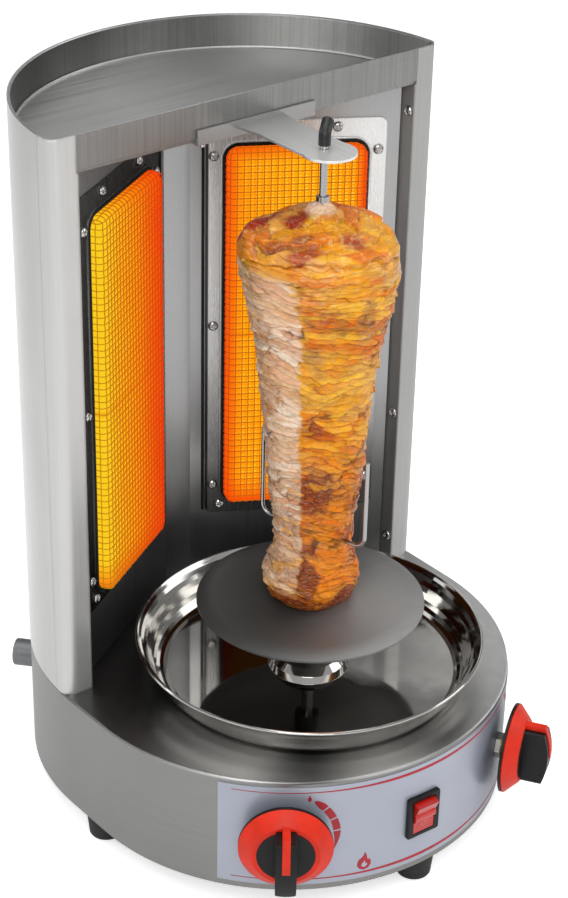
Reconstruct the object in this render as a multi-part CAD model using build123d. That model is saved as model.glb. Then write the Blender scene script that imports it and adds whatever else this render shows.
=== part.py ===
from build123d import *
import math
import os

os.makedirs("parts", exist_ok=True)

# Vertical rotisserie broiler, in millimetres. It is drawn about the skewer's axis
# and saved with its origin on the floor under the middle of its overall box.
# +Z is up, the controls face -Y, and left and right are -X and +X.

# ---- driving dimensions ----
BOX_MID_Y = 41.873   # middle of the overall box, behind the skewer's axis
BASE_R = 165.0       # plan radius of the base's front and rear arcs
FRONT_Y = 26.5       # centre of the front arc, behind the skewer's axis
REAR_Y = 70.0        # centre of the rear arc
BASE_MID_Y = (FRONT_Y + REAR_Y) / 2
FOOT_H = 20.0        # feet height, and the underside of the base
DECK_Z = 113.0       # top of the base
DECK_T = 1.5
DECK_UNDER = DECK_Z - DECK_T
FLOOR_TOP = FOOT_H + 1.5
SKIRT_T = 1.2
TOP_Z = 534.0        # top of the hood and tray

HOOD_R = 165.3
HOOD_FRONT_Y = 70.9  # hood's front flanges
HOOD_T = 1.2
OPENING = 144.6      # half the width of the hood's opening
BAND_Z = 510.4       # underside of the tray's front band
TRAY_T = 1.0
TRAY_Z = BAND_Z - 2.4

# Angles on the base arcs run from the front (-Y) towards +X, in degrees
KNOB_ANGLES = {"left": -38.75, "right": 31.75}
KNOB_Z = 67.0
SWITCH_ANGLE, SWITCH_Z = -3.4, 66.0
INLET_ANGLE, INLET_Z = 221.0, 61.0
INLET_R, INLET_OUT = 10.5, 20.0
CORD_ANGLE, CORD_Z = 145.0, 52.0

SKEWER = 7.0         # width of the square bar
SKEWER_Z0, SKEWER_Z1 = 122.1, 482.0
SQUARE_GAP = 0.15    # gap on each side of the bar in its coupling
PIN_R = 2.5
PIN_HOLE_R = PIN_R + 0.3
SHAFT_R = 4.0        # drive shaft and valve stems
RUN = 0.05           # radial running clearance of the turning pieces
SHAFT_HOLE_R = SHAFT_R + RUN


# ---- helpers ----
def save(name, *shapes):
    solids = [Pos(0, -BOX_MID_Y, 0) * one for shape in shapes for one in shape.solids()]
    whole = solids[0] if len(solids) == 1 else Compound(solids)
    export_step(whole, "parts/" + name + ".step")


def flip(shape):
    return mirror(shape, Plane.YZ)


def save_pair(name, *shapes):
    """Save right-hand shapes and their mirror images."""
    save(name + "_right", *shapes)
    save(name + "_left", *[flip(shape) for shape in shapes])


def stadium(radius, z0, z1):
    """Solid with the base's plan outline, its end arcs having this radius."""
    plan = SlotCenterToCenter(REAR_Y - FRONT_Y, 2 * radius)
    return extrude(Pos(0, BASE_MID_Y, z0) * Rot(0, 0, 90) * plan, amount=z1 - z0, dir=(0, 0, 1))


def cyl(radius, z0, z1, x=0.0, y=0.0):
    return Pos(x, y, (z0 + z1) / 2) * Cylinder(radius, z1 - z0)


def box(x0, x1, y0, y1, z0, z1):
    return Pos((x0 + x1) / 2, (y0 + y1) / 2, (z0 + z1) / 2) * Box(x1 - x0, y1 - y0, z1 - z0)


def mid_box(half_width, y0, y1, z0, z1):
    """Box centred on x = 0."""
    return box(-half_width, half_width, y0, y1, z0, z1)


def square_bar(width, z0, z1):
    return mid_box(width / 2, -width / 2, width / 2, z0, z1)


def hexagon(radius, z0, z1):
    return Pos(0, 0, z0) * extrude(RegularPolygon(radius, 6), amount=z1 - z0)


def hex_nut(radius, hole_r, z0, z1):
    return hexagon(radius, z0, z1) - cyl(hole_r, z0 - 1, z1 + 1)


def prism(points, z0, z1):
    """Upright prism over a closed list of plan points."""
    face = Pos(0, 0, z0) * make_face(Polyline(*points, close=True))
    return extrude(face, amount=z1 - z0, dir=(0, 0, 1))


def lathe(points):
    """Solid of revolution about Z from (radius, height) points."""
    outline = Polyline(*[(radius, 0, z) for radius, z in points], close=True)
    return revolve(make_face(outline), Axis.Z)


def tube(path, radius):
    """Round bar swept along a path edge or wire."""
    return sweep(Plane(origin=path @ 0, z_dir=path % 0) * Circle(radius), path=path)


def pan_screw(head_r, head_h, shank_r, z0, z1=0.0):
    """Screw whose head sits on local z 0, with its shank from z0 to z1."""
    head = cyl(head_r, 0, head_h)
    head = fillet(head.edges().sort_by(Axis.Z)[-1], head_h * 0.7)
    return head + cyl(shank_r, z0, z1)


def outward(angle):
    return Vector(math.sin(math.radians(angle)), -math.cos(math.radians(angle)), 0)


def across(angle):
    """Level direction square to outward(angle)."""
    return Vector(math.cos(math.radians(angle)), math.sin(math.radians(angle)), 0)


def arc_point(centre_y, radius, angle, z):
    return Vector(0, centre_y, z) + outward(angle) * radius


def arc_loc(centre_y, angle, z):
    """On the base's wall: local Z points straight out, local Y up."""
    origin = arc_point(centre_y, BASE_R, angle, z)
    return Plane(origin=origin, x_dir=across(angle), z_dir=outward(angle)).location


def front_loc(angle, z):
    return arc_loc(FRONT_Y, angle, z)


def rear_loc(angle, z):
    return arc_loc(REAR_Y, angle, z)


# The switch is built facing -Y at the middle of the front arc, then turned to its place
AT_SWITCH = Pos(0, FRONT_Y, 0) * Rot(0, 0, SWITCH_ANGLE) * Pos(0, -FRONT_Y, 0)


# ---- base ----
FEET = [(0.0, -123.5), (-149.5, BASE_MID_Y), (149.5, BASE_MID_Y), (0.0, 219.0)]
SUPPLY_X, SUPPLY_Y = 88.2, 142.7   # axis of the right burner's mixing tube
MOTOR_FIX = [(-38, -22), (38, -22), (-38, 22), (38, 22)]
FOOT_SEAT_Z = 9      # where the screw head bears inside a foot


def cut_controls(shape):
    """Open the valve holes and the switch window."""
    for angle in KNOB_ANGLES.values():
        shape -= front_loc(angle, KNOB_Z) * Cylinder(7.2, 30)
    return shape - AT_SWITCH * mid_box(11.3, -150, -120, SWITCH_Z - 14.6, SWITCH_Z + 14.6)


skirt = stadium(BASE_R, FOOT_H, DECK_UNDER) - stadium(BASE_R - SKIRT_T, FOOT_H - 1, DECK_Z)
skirt = cut_controls(skirt)
skirt -= rear_loc(INLET_ANGLE, INLET_Z) * Cylinder(INLET_R + 0.3, 30)
skirt -= rear_loc(CORD_ANGLE, CORD_Z) * Cylinder(6.2, 30)
for i in range(-5, 6):   # upright slots at the rear
    skirt -= rear_loc(180 + i * 3.2, 88) * Box(3.2, 26, 20)
save("base_skirt", skirt)

# Thin overlay on the skirt, kept inside a wedge of plan angles
wedge_rim = [arc_point(FRONT_Y, 400, angle, 0) for angle in (-55.3, -30, 0, 30, 50.5)]
overlay = stadium(BASE_R + 0.5, 25, 109) - stadium(BASE_R + 0.02, 20, 112)
overlay = overlay & prism([Vector(0, FRONT_Y, 0)] + wedge_rim, 0, 200)
save("control_overlay", cut_controls(overlay))

deck = stadium(BASE_R, DECK_UNDER, DECK_Z)
deck = fillet(deck.edges().group_by(Axis.Z)[-1], 1.2)
deck -= cyl(8.0, 100, 120)
for side in (-1, 1):
    deck -= cyl(16.0, 100, 120, side * SUPPLY_X, SUPPLY_Y)
countersink = lathe([(0, 100), (2.1, 100), (2.1, DECK_UNDER),
                     (4.1, DECK_Z + 0.4), (0, DECK_Z + 0.4)])
for x, y in MOTOR_FIX:
    deck -= Pos(x, y, 0) * countersink
save("base_deck", deck)

# Bottom plate, with two columns of slots
floor = stadium(BASE_R - SKIRT_T - 0.1, FOOT_H, FLOOR_TOP)
for x, y in FEET:
    floor -= cyl(2.2, 10, 30, x, y)
for row in range(-3, 4):
    for column in (-1, 1):
        x, y = column * 50, 48 + row * 16
        floor -= box(x - 25, x + 25, y - 2, y + 2, 10, 30)
save("base_floor", floor)

foot = lathe([
    (5.2, 0), (10.8, 0), (12.0, 0.5), (12.6, 1.6), (14.4, FOOT_H - 1), (14.0, FOOT_H),
    (2.2, FOOT_H), (2.2, FOOT_SEAT_Z), (5.2, FOOT_SEAT_Z)])
foot_screw = Pos(0, 0, FOOT_SEAT_Z) * Rot(180, 0, 0) * pan_screw(4.4, 3, 2.0, -17.5)
foot_screw = foot_screw + hex_nut(4.2, 1.9, FLOOR_TOP, FLOOR_TOP + 3.2)
save("rubber_feet", *[Pos(x, y, 0) * foot for x, y in FEET])
save("foot_screws", *[Pos(x, y, 0) * foot_screw for x, y in FEET])

# ---- switch ----
TERMINALS_X = (-5, 0, 5)
ROCKER_TILT = 12.0
ROCKER_HALF_H = 12.6
ROCKER_HALF_W = 9

bezel = mid_box(14, -142.0, -139.02, SWITCH_Z - 17.2, SWITCH_Z + 17.2)
bezel = fillet(bezel.edges().filter_by(Axis.Y), 2.0)
bezel = fillet(bezel.faces().sort_by(Axis.Y)[0].edges(), 1.0)
housing = bezel + mid_box(11, -139.1, -112, SWITCH_Z - 14.3, SWITCH_Z + 14.3)
housing -= mid_box(9.3, -150, -126, SWITCH_Z - 13.8, SWITCH_Z + 13.8)
for x in TERMINALS_X:
    housing += box(x - 0.4, x + 0.4, -112.2, -103, SWITCH_Z - 2.4, SWITCH_Z + 2.4)
save("switch_housing", AT_SWITCH * housing)

# Shallow V-faced rocker, tilted until one half of its face stands upright
rocker_rise = ROCKER_HALF_H * math.tan(math.radians(ROCKER_TILT))
rocker_profile = Polyline(
    (0, -3.2, 0), (0, -3.2 - rocker_rise, ROCKER_HALF_H), (0, 1.6, ROCKER_HALF_H),
    (0, 1.6, -ROCKER_HALF_H), (0, -3.2 - rocker_rise, -ROCKER_HALF_H), close=True)
rocker = extrude(make_face(rocker_profile), amount=2 * ROCKER_HALF_W, dir=(1, 0, 0))
rocker = Pos(-ROCKER_HALF_W, 0, 0) * rocker
rocker = rocker + Rot(0, 90, 0) * Cylinder(5.5, 2 * ROCKER_HALF_W)
rocker = Pos(0, -138.6, SWITCH_Z) * Rot(ROCKER_TILT, 0, 0) * rocker
save("rocker", AT_SWITCH * rocker)

# ---- valves and knobs, in the frame of front_loc ----
VALVE_HALF_W = 12
VALVE_BLOCK = box(-VALVE_HALF_W, VALVE_HALF_W, -22, 16, -53, -15)
NOSE_R = 6.9         # threaded nose through the skirt
PLUG_R = 8
KNOB_INSET = 4.8     # knobs are drawn this much further out than they sit
HUB_R = 20.2
CROWN_Y, CROWN_Z = -1, -19   # axis of the curve along the tops of grip and rib


def valve_body():
    body = fillet(VALVE_BLOCK.edges().filter_by(Axis.Z), 3)
    body += cyl(NOSE_R, -21.5, 4.5)
    body -= cyl(PLUG_R + RUN, -37, -23)
    return body - cyl(SHAFT_HOLE_R, -38, 22)


def crown(radius):
    return Pos(0, CROWN_Y, CROWN_Z) * Rot(0, 90, 0) * Cylinder(radius, 40)


def knob(stem):
    """Grip with its back disc, and the cone with its pointer rib."""
    seat = cyl(33.0, 14, 16) - cyl(SHAFT_R, 10, 20)
    seat += cyl(HUB_R, 16, 26.2) - cyl(SHAFT_R, 5, 25)
    bar = mid_box(7.25, -23, 21, 24, 45)
    bar = bar & cyl(23.0, 4, 46)
    bar = bar & crown(63.7)
    bar = fillet(bar.edges().filter_by(Axis.Z), 1.5)
    grip = seat + bar
    rib = mid_box(2.8, -0.5, 24.5, 21.5, 45.5)
    rib = rib & cyl(24.6, 3, 47) & crown(64.7)
    cone = lathe([(HUB_R, 16.02), (32.4, 16.02), (33.0, 16.8), (23.6, 25.8), (HUB_R, 25.8)])
    cone = (cone + rib - grip).solids().sort_by(SortBy.VOLUME)[-1]
    inset = Pos(0, 0, -KNOB_INSET)
    return inset * grip - stem, inset * cone


valve_stem = cyl(SHAFT_R, -34, 20.2)
knob_grip, knob_cone = knob(valve_stem)
valve_pieces = {
    "gas_valve_": valve_body(),
    "valve_plug_": cyl(PLUG_R, -36.8, -23.2) - cyl(SHAFT_HOLE_R, -45, -15),
    "valve_stem_": valve_stem,
    "knob_grip_": knob_grip,
    "knob_cone_": knob_cone,
}
for side_name, angle in KNOB_ANGLES.items():
    for piece_name, piece in valve_pieces.items():
        save(piece_name + side_name, front_loc(angle, KNOB_Z) * piece)
valve_nut = hex_nut(9.5, NOSE_R, 0.6, 4.2)
save("valve_nuts", *[front_loc(angle, KNOB_Z) * valve_nut for angle in KNOB_ANGLES.values()])

# ---- gas supply ----
RAIL_Z = 50
RAIL_PIPE_R = 5
JET_Z = 97.5         # underside of the injectors
KNOB_L, KNOB_R = KNOB_ANGLES["left"], KNOB_ANGLES["right"]


def valve_zone(angle):
    return front_loc(angle, KNOB_Z) * VALVE_BLOCK


# Rail between the valves, and a feed from the left valve's left face to the inlet
rail_points = [arc_point(FRONT_Y, 118, angle, RAIL_Z) for angle in (KNOB_L, 0, KNOB_R)]
rail = tube(ThreePointArc(*rail_points), RAIL_PIPE_R) - valve_zone(KNOB_L) - valve_zone(KNOB_R)
valve_side = arc_point(FRONT_Y, 128, KNOB_L, RAIL_Z) - across(KNOB_L) * (VALVE_HALF_W + 0.05)
inlet_end = arc_point(REAR_Y, 136, INLET_ANGLE, INLET_Z)
feed = Spline([valve_side, Vector(-122, 20, 51), inlet_end],
              tangents=[across(KNOB_L) * -1, outward(INLET_ANGLE)])
save("gas_manifold", rail, tube(feed, RAIL_PIPE_R))

inlet = cyl(INLET_R, -20, INLET_OUT)
inlet = inlet + hexagon(13.5, -22, -5)
inlet = inlet + cyl(13, 0.1, 2.8)
inlet -= Cylinder(5, 100)
inlet = inlet + (cyl(8, -29, -22) - cyl(5.02, -30.5, -20.5))
inlet = chamfer(inlet.edges().filter_by(GeomType.CIRCLE).sort_by(Axis.Z)[-2:], 0.8)
save("gas_inlet", rear_loc(INLET_ANGLE, INLET_Z) * inlet)

# Pipes from the valves back to the injectors under the mixing tubes
pipes = []
for side, angle in ((-1, KNOB_L), (1, KNOB_R)):
    path = Spline([arc_point(FRONT_Y, 113, angle, 76),
                   Vector(side * 84, 40, 74),
                   Vector(side * SUPPLY_X, SUPPLY_Y - 14, 84),
                   Vector(side * SUPPLY_X, SUPPLY_Y, JET_Z)],
                  tangents=[outward(angle) * -1, Vector(0, 0, 1)])
    pipes.append(tube(path, 3.2) - valve_zone(angle))
save("burner_pipes", *pipes)
jet = hexagon(8.0, JET_Z, 108) + cyl(4.6, 108, 118) - cyl(0.8, 90, 130)
save("injectors", *[Pos(side * SUPPLY_X, SUPPLY_Y, 0) * jet for side in (-1, 1)])

# ---- burners ----
# The right burner's frame: s runs outwards along it, z up, depth back from the gauze's front
BURN_W, BURN_Z0, BURN_Z1 = 101.0, 174.8, 463.4   # gauze window
BURN_ORIGIN = (28.5, 137.3, 0.0)                 # its inner front edge
BURN_TURN = 30.3                                 # turned this far from the back wall
BURN_ALONG = across(-BURN_TURN)
BURN_FORWARD = outward(-BURN_TURN)
BURN = Plane(origin=BURN_ORIGIN, x_dir=BURN_ALONG, z_dir=BURN_FORWARD).location
BURN_AXIS = Axis(BURN_ORIGIN, BURN_FORWARD)
PANEL_DEPTH = 11.0                               # front of the reflector panel
FRAME_DEPTH = PANEL_DEPTH - 1.5
BURN_SCREW_HOLE_R = 1.8
BURN_SCREWS = [   # (s, z)
    (-9, 456.5), (-9, 323), (-9, 188), (-4, 170.5), (110, 457.5),
    (110, 321), (110, 188), (104, 170.5), (20, 475.5), (80, 475.5)]


def burn_box(s0, s1, z0, z1, depth0, depth1):
    return BURN * box(s0, s1, z0, z1, -depth1, -depth0)


def round_corners(block, radius):
    """Round the edges that run front to back through a burner box."""
    return fillet(block.edges().filter_by(BURN_AXIS), radius)


def gauze_block(inset, depth1, corner_r, rim_r):
    block = burn_box(inset, BURN_W - inset, BURN_Z0 + inset, BURN_Z1 - inset, inset, depth1)
    block = round_corners(block, corner_r)
    return fillet(block.faces().sort_by(BURN_AXIS)[-1].edges(), rim_r)


mixing_tube = Pos(SUPPLY_X, SUPPLY_Y, 0) * lathe([
    (11.0, 178.0), (11.0, 150), (8.6, 138), (9.4, 126), (15.0, 116),
    (14.0, 116), (8.4, 126.4), (7.6, 138), (9.8, 150.4), (9.8, 178.0)])
save("mixing_tubes", mixing_tube, flip(mixing_tube))

# Open-fronted box behind the tiles; its two upright edges at the inner end are chamfered
plenum = burn_box(3, 98, 178, 462.2, 18.2, 46)
plenum = chamfer(plenum.edges().group_by(SortBy.LENGTH)[-1].sort_by(Axis.Y)[-2:], 9)
plenum -= burn_box(4.2, 96.8, 179.2, 461.0, 17, 36)
plenum -= burn_box(30, 70, 177, 180, 26, 36)
save_pair("burner_box", plenum)

save_pair("ceramic_tiles",
          burn_box(4, 97, 178.5, 318.7, 5, 18), burn_box(4, 97, 319.7, 460.2, 5, 18))

save_pair("burner_gauze", gauze_block(0, 10.95, 9, 4.5) - gauze_block(1, 13.5, 8, 3.5))

frame = round_corners(burn_box(-15.0, 116.0, 163.0, 481.5, FRAME_DEPTH, PANEL_DEPTH), 6)
window = burn_box(-0.3, BURN_W + 0.3, BURN_Z0 - 0.3, BURN_Z1 + 0.3, 5, 15)
frame -= round_corners(window, 9.3)
for s, z in BURN_SCREWS:
    frame -= BURN * cyl(BURN_SCREW_HOLE_R, -15, -5, s, z)
save_pair("burner_frame", frame)

burner_screw = pan_screw(3.9, 2.4, 1.7, -8.9, 0.1)
burner_screws = [BURN * Pos(s, z, -FRAME_DEPTH) * burner_screw for s, z in BURN_SCREWS]
save("burner_screws", *burner_screws, *[flip(one) for one in burner_screws])


# ---- reflector ----
def on_panel(s, depth):
    point = Vector(*BURN_ORIGIN) + BURN_ALONG * s - BURN_FORWARD * depth
    return (point.X, point.Y)


PANEL_BACK = PANEL_DEPTH + 1
right_half = [on_panel(-26.2, PANEL_DEPTH), on_panel(125.4, PANEL_DEPTH),
              on_panel(125.4, PANEL_BACK), on_panel(-26.5, PANEL_BACK)]
left_half = [(-x, y) for x, y in reversed(right_half)]
panel = prism(right_half + left_half, DECK_Z, BAND_Z - 3.0)
window = round_corners(burn_box(1.5, BURN_W - 1.5, 176.5, 461.7, 5, 20), 5)
panel = panel - window - flip(window)
for s, z in BURN_SCREWS:
    hole = BURN * cyl(BURN_SCREW_HOLE_R, -20, -5, s, z)
    panel = panel - hole - flip(hole)
save("inner_reflector", panel)

# ---- hood ----
HOOD_CORNER = 9.0    # rounded front corners
RETURN = 18.0        # depth of the posts' return flanges
SEAM_Y = 86.0        # where the corner posts meet the hood sheet
HOOD_SCREWS = [(76.5, 487.0), (76.5, 244.4), (76.5, 134.9)]   # (y, z)


def half_plane(x, y):
    """Square, 400 wide, that stands for a half plane."""
    return Pos(x, y, 0) * Rectangle(400, 400)


def hood_region(inset):
    """Hood's plan outline, offset inwards."""
    front = HOOD_FRONT_Y + inset
    region = Pos(0, REAR_Y, 0) * Circle(HOOD_R - inset) & half_plane(0, front + 200)
    corners = region.vertices().filter_by(lambda v: abs(v.Y - front) < 0.5 and abs(v.X) > 100)
    return corners, region


def rounded_region(inset, corner_r):
    corners, region = hood_region(inset)
    return fillet(corners, corner_r)


def hood_wall(plan):
    return extrude(Pos(0, 0, DECK_Z) * plan, amount=TOP_Z - DECK_Z, dir=(0, 0, 1))


sheet = rounded_region(0, HOOD_CORNER) - rounded_region(HOOD_T, HOOD_CORNER - HOOD_T)
sheet = sheet - Pos(0, HOOD_FRONT_Y, 0) * Rectangle(2 * OPENING, 10)
hood = hood_wall(sheet & half_plane(0, SEAM_Y + 200))
for i in range(-4, 5):   # two rows of level slots at the rear
    for z in (490, 480):
        hood -= rear_loc(180 + i * 5.0, z) * Box(8, 3, 20)
save("hood_shell", hood)

post = hood_wall(sheet & half_plane(0, SEAM_Y - 200) & half_plane(200, REAR_Y))
post = post + box(OPENING - HOOD_T, OPENING, HOOD_FRONT_Y, HOOD_FRONT_Y + RETURN,
                  DECK_Z, BAND_Z - 2.5)
hood_screws = []
for y, z in HOOD_SCREWS:
    post -= Pos(OPENING, y, z) * Rot(0, 90, 0) * Cylinder(1.8, 10)
    screw = Pos(OPENING - HOOD_T, y, z) * Rot(0, -90, 0) * pan_screw(4.0, 2.4, 1.7, -6.05, 0.05)
    hood_screws += [screw, flip(screw)]
save_pair("hood_post", post)
save("hood_screws", *hood_screws)

# ---- top tray and skewer bracket ----
TRAY_GAP = 0.1       # tray's wall to the hood's
BAND_BACK_Y = HOOD_FRONT_Y + HOOD_T + 0.1
TRAY_CORNER = HOOD_CORNER - HOOD_T
TRAY_FIX = [(-35, 84), (35, 84)]
TONGUE_T, TONGUE_R = 1.8, 18.5
TONGUE_Z1 = 514.6
TONGUE_Z0 = TONGUE_Z1 - TONGUE_T
TONGUE_TIP_Y = -5.0

tray_outer = rounded_region(HOOD_T + TRAY_GAP, TRAY_CORNER)
tray_inner = rounded_region(HOOD_T + TRAY_GAP + TRAY_T, TRAY_CORNER - TRAY_T)
tray = extrude(Pos(0, 0, TRAY_Z) * tray_outer, amount=TOP_Z - 0.6 - TRAY_Z, dir=(0, 0, 1))
tray -= extrude(Pos(0, 0, TRAY_Z + TRAY_T) * tray_inner, amount=100, dir=(0, 0, 1))
tray = tray + mid_box(OPENING - 0.15, HOOD_FRONT_Y, BAND_BACK_Y, BAND_Z, TOP_Z)
# Notch for the bracket's lip, in front of the tray's own wall
notch = mid_box(50.2, 60, BAND_BACK_Y + TRAY_T, BAND_Z - 5, BAND_Z + 6.2)
notch -= mid_box(50.2, BAND_BACK_Y, 80, BAND_Z - 5, BAND_Z + 10)
tray -= notch
for x, y in TRAY_FIX:
    tray -= cyl(2.1, 500, 520, x, y)
save("top_tray", tray)

# Tongue out over the skewer, widened at its root, with a lip and a leg under the tray
tongue = mid_box(TONGUE_R - 1, TONGUE_TIP_Y, HOOD_FRONT_Y, TONGUE_Z0, TONGUE_Z1)
tongue = tongue + cyl(TONGUE_R, TONGUE_Z0, TONGUE_Z1, 0, TONGUE_TIP_Y)
flare = prism([(-21, HOOD_FRONT_Y), (-17.5, HOOD_FRONT_Y - 24),
               (17.5, HOOD_FRONT_Y - 24), (21, HOOD_FRONT_Y)], TONGUE_Z0, TONGUE_Z1)
lip = mid_box(50, HOOD_FRONT_Y - 2.0, HOOD_FRONT_Y + 1.2, BAND_Z - 4.4, BAND_Z + 6.0)
leg = mid_box(50, HOOD_FRONT_Y - 2.0, 94, BAND_Z - 4.5, TRAY_Z)
bracket = tongue + flare + lip + leg
bracket -= cyl(PIN_HOLE_R, 500, 530)
for x, y in TRAY_FIX:
    bracket -= cyl(2.1, 490, 520, x, y)
save("skewer_bracket", bracket)

bracket_screw = Pos(0, 0, TRAY_Z + TRAY_T) * pan_screw(4.2, 2.4, 2.0, -11)
bracket_screw = bracket_screw + hex_nut(4.2, 1.9, BAND_Z - 7.8, BAND_Z - 4.6)
save("bracket_screws", *[Pos(x, y, 0) * bracket_screw for x, y in TRAY_FIX])


# ---- drive ----
def cut_flutes(shape, start_angle, z0, z1):
    """Cut six slots right across the axis, which leaves twelve teeth."""
    for i in range(6):
        shape -= Rot(0, 0, 30 * i + start_angle) * mid_box(20, -1.1, 1.1, z0, z1)
    return shape


motor = cyl(29, 52, 76) + box(-26, 34, -26, 26, 76, 98)
motor = motor - cyl(SHAFT_HOLE_R, 86, 120) - cyl(4.5, 84, 86.5)
motor = motor + (cyl(9, 98, 101) - cyl(SHAFT_HOLE_R, 80, 110))
save("gear_motor", motor)

motor_bracket = mid_box(44, -28, 28, 98, 99.5)
motor_bracket -= cyl(9.2, 90, 110)
for x, y in MOTOR_FIX:
    motor_bracket += cyl(5, 98, DECK_UNDER, x, y)
for x, y in MOTOR_FIX:
    motor_bracket -= cyl(2.1, 90, 130, x, y)
save("motor_bracket", motor_bracket)

motor_screw = lathe([(0, 99), (2.0, 99), (2.0, DECK_UNDER),
                     (3.5, DECK_Z - 0.05), (0, DECK_Z - 0.05)])
save("motor_screws", *[Pos(x, y, 0) * motor_screw for x, y in MOTOR_FIX])

bush = cyl(8, 108, DECK_Z) + cyl(11, DECK_Z, DECK_Z + 2) - cyl(SHAFT_HOLE_R, 100, 130)
save("shaft_bush", bush)
save("drive_shaft", cyl(SHAFT_R, 86.6, 118.5))

socket = square_bar(SKEWER + 2 * SQUARE_GAP, 122, 140)
coupling = cyl(9, 116.5, 130) - cyl(SHAFT_R, 110, 118.5) - socket
coupling = cut_flutes(coupling, 15, 127.6, 140)
coupling = coupling + (cyl(7.0, 120, 130) - socket)
save("drive_coupling", coupling)

# ---- skewer and load ----
FORK_Z, FORK_HALF_W, FORK_LEG, WIRE_R = 228.0, 43.4, 68.0, 1.5
# Fork's frame: local X along its cross wire, local Y up
FORK = Plane(origin=(0, 0, 0), x_dir=(0.286, -0.958, 0), z_dir=(-0.958, -0.286, 0)).location
FERRULE_R, FERRULE_Z0 = 3.9, SKEWER_Z1 - 14   # round top of the bar, bored for the lock pin
DISC_R, DISC_Z, DISC_T = 82.4, 174.4, 1.8
DISC_RIM = [   # (radius, drop below the disc's top)
    (68, 0), (71, 0.15), (74, 0.6), (77, 1.35), (79.5, 2.2), (DISC_R, 3.4)]
MEAT = [   # (radius, z), from the top down
    (0, 472.5), (8, 471), (18, 468), (28, 465), (37, 461), (44.5, 458), (50, 455),
    (53.3, 449), (54.8, 442), (54.4, 430), (51.0, 409), (45.4, 389), (42.8, 370),
    (39.4, 347), (37.5, 326), (36.1, 309), (33.5, 285), (31.7, 261), (28.6, 244),
    (27.8, 222), (31, 208), (34.4, 199), (34.2, 189), (29, 180), (25, 175.2), (0, 175.2)]

rod = square_bar(SKEWER, SKEWER_Z0, SKEWER_Z1)
rod = chamfer(rod.edges().filter_by(Axis.Z), 0.8)
rod = rod + cyl(FERRULE_R, FERRULE_Z0, SKEWER_Z1)
rod -= cyl(PIN_HOLE_R, 461, 520)
rod = chamfer(rod.faces().sort_by(Axis.Z)[0].edges(), 0.8)
rod -= FORK * Pos(0, FORK_Z, 0) * Rot(0, 90, 0) * Cylinder(WIRE_R, 60)
save("skewer_rod", rod)

disc = lathe([(0, DISC_Z)] + [(radius, DISC_Z - drop) for radius, drop in DISC_RIM]
             + [(radius, DISC_Z - DISC_T - drop) for radius, drop in reversed(DISC_RIM)]
             + [(0, DISC_Z - DISC_T)])
disc -= square_bar(SKEWER, 100, 300)
save("meat_plate", disc)

collar = cut_flutes(cyl(9, 158, DISC_Z - DISC_T), 0, 150, 160.6)
collar = collar + cyl(7.2, 158, 165)
collar -= square_bar(SKEWER, 100, 300)
save("plate_collar", collar)

fork_top = FORK_Z + FORK_LEG
fork_path = Polyline((-FORK_HALF_W, fork_top, 0), (-FORK_HALF_W, FORK_Z, 0),
                     (FORK_HALF_W, FORK_Z, 0), (FORK_HALF_W, fork_top, 0))
fork_path = fillet(fork_path.vertices().sort_by(Axis.Y)[:2], 8.0)
fork_start = Plane(origin=(-FORK_HALF_W, fork_top, 0), z_dir=(0, -1, 0))
fork = FORK * sweep(fork_start * Circle(WIRE_R), path=fork_path)
save("meat_fork", fork)

meat = lathe(MEAT)
meat = meat - square_bar(SKEWER, 100, 600) - cyl(FERRULE_R, FERRULE_Z0, 600) - fork
save("meat_stack", meat.solids().sort_by(SortBy.VOLUME)[-1])

# ---- lock pin ----
PIN_BEND_Z = 525.2


def bent_bar(radius, z0, x1, y1, rise):
    """Upright bar from z0, bent over towards a tip at (x1, y1)."""
    path = Polyline((0, 0, z0), (0, 0, PIN_BEND_Z), (x1, y1, PIN_BEND_Z + rise))
    path = fillet(path.vertices()[1:2], 5)
    return sweep(Plane(origin=(0, 0, z0), z_dir=(0, 0, 1)) * Circle(radius), path=path)


pin = bent_bar(PIN_R, 470.0, 6.6, 5.4, 4.0)
save("lock_pin", pin)
sleeve = bent_bar(4.1, 517.2, 7.7, 6.3, 4.67) - pin
save("pin_sleeve", sleeve.solids().sort_by(SortBy.VOLUME)[-1])

# ---- drip pan ----
PAN_R, PAN_FLOOR_R, PAN_Z, PAN_TOP = 124.9, 107.0, 113.1, 141.9
DOME_R, DOME_HOLE_R = 28.5, 13.0
DOME_Z = PAN_Z + 13.0
WALL_STEPS = [   # (radius beyond the floor's, height above the pan's underside)
    (-3, 1.0), (0, 1.3), (2.6, 2.5), (4.9, 4.6), (6.8, 7.4), (8.5, 11.0),
    (10.3, 15.4), (12.0, 19.4), (13.9, 22.9), (15.9, 25.7)]

pan_wall = [(PAN_FLOOR_R + out, PAN_Z + up) for out, up in WALL_STEPS]
pan_wall.append((PAN_R - 0.1, PAN_TOP - 1.2))
dome_under = [(DOME_HOLE_R, DOME_Z), (17, DOME_Z - 0.5), (22, DOME_Z - 3.2),
              (26, DOME_Z - 8), (DOME_R, PAN_Z)]
rim = [(PAN_R + 1.6, PAN_TOP - 2.2), (PAN_R + 2.2, PAN_TOP - 1.4), (PAN_R + 2.0, PAN_TOP - 0.5),
       (PAN_R + 1.3, PAN_TOP), (PAN_R + 0.4, PAN_TOP)]
dome_top = [(DOME_R + 0.8, PAN_Z + 1), (26.9, DOME_Z - 7.2), (22.7, DOME_Z - 2.3),
            (17.4, DOME_Z + 0.5), (DOME_HOLE_R, DOME_Z + 1)]
wall_outside = [(radius + 0.45, z - 0.9) for radius, z in pan_wall]
wall_inside = [(radius - 0.45, z) for radius, z in reversed(pan_wall)]
save("drip_pan", lathe(dome_under + wall_outside + rim + wall_inside + dome_top))

# ---- power entry ----
CORD_R = 3.1
WIRE_Z = 32          # where the wires meet the terminal block

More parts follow.
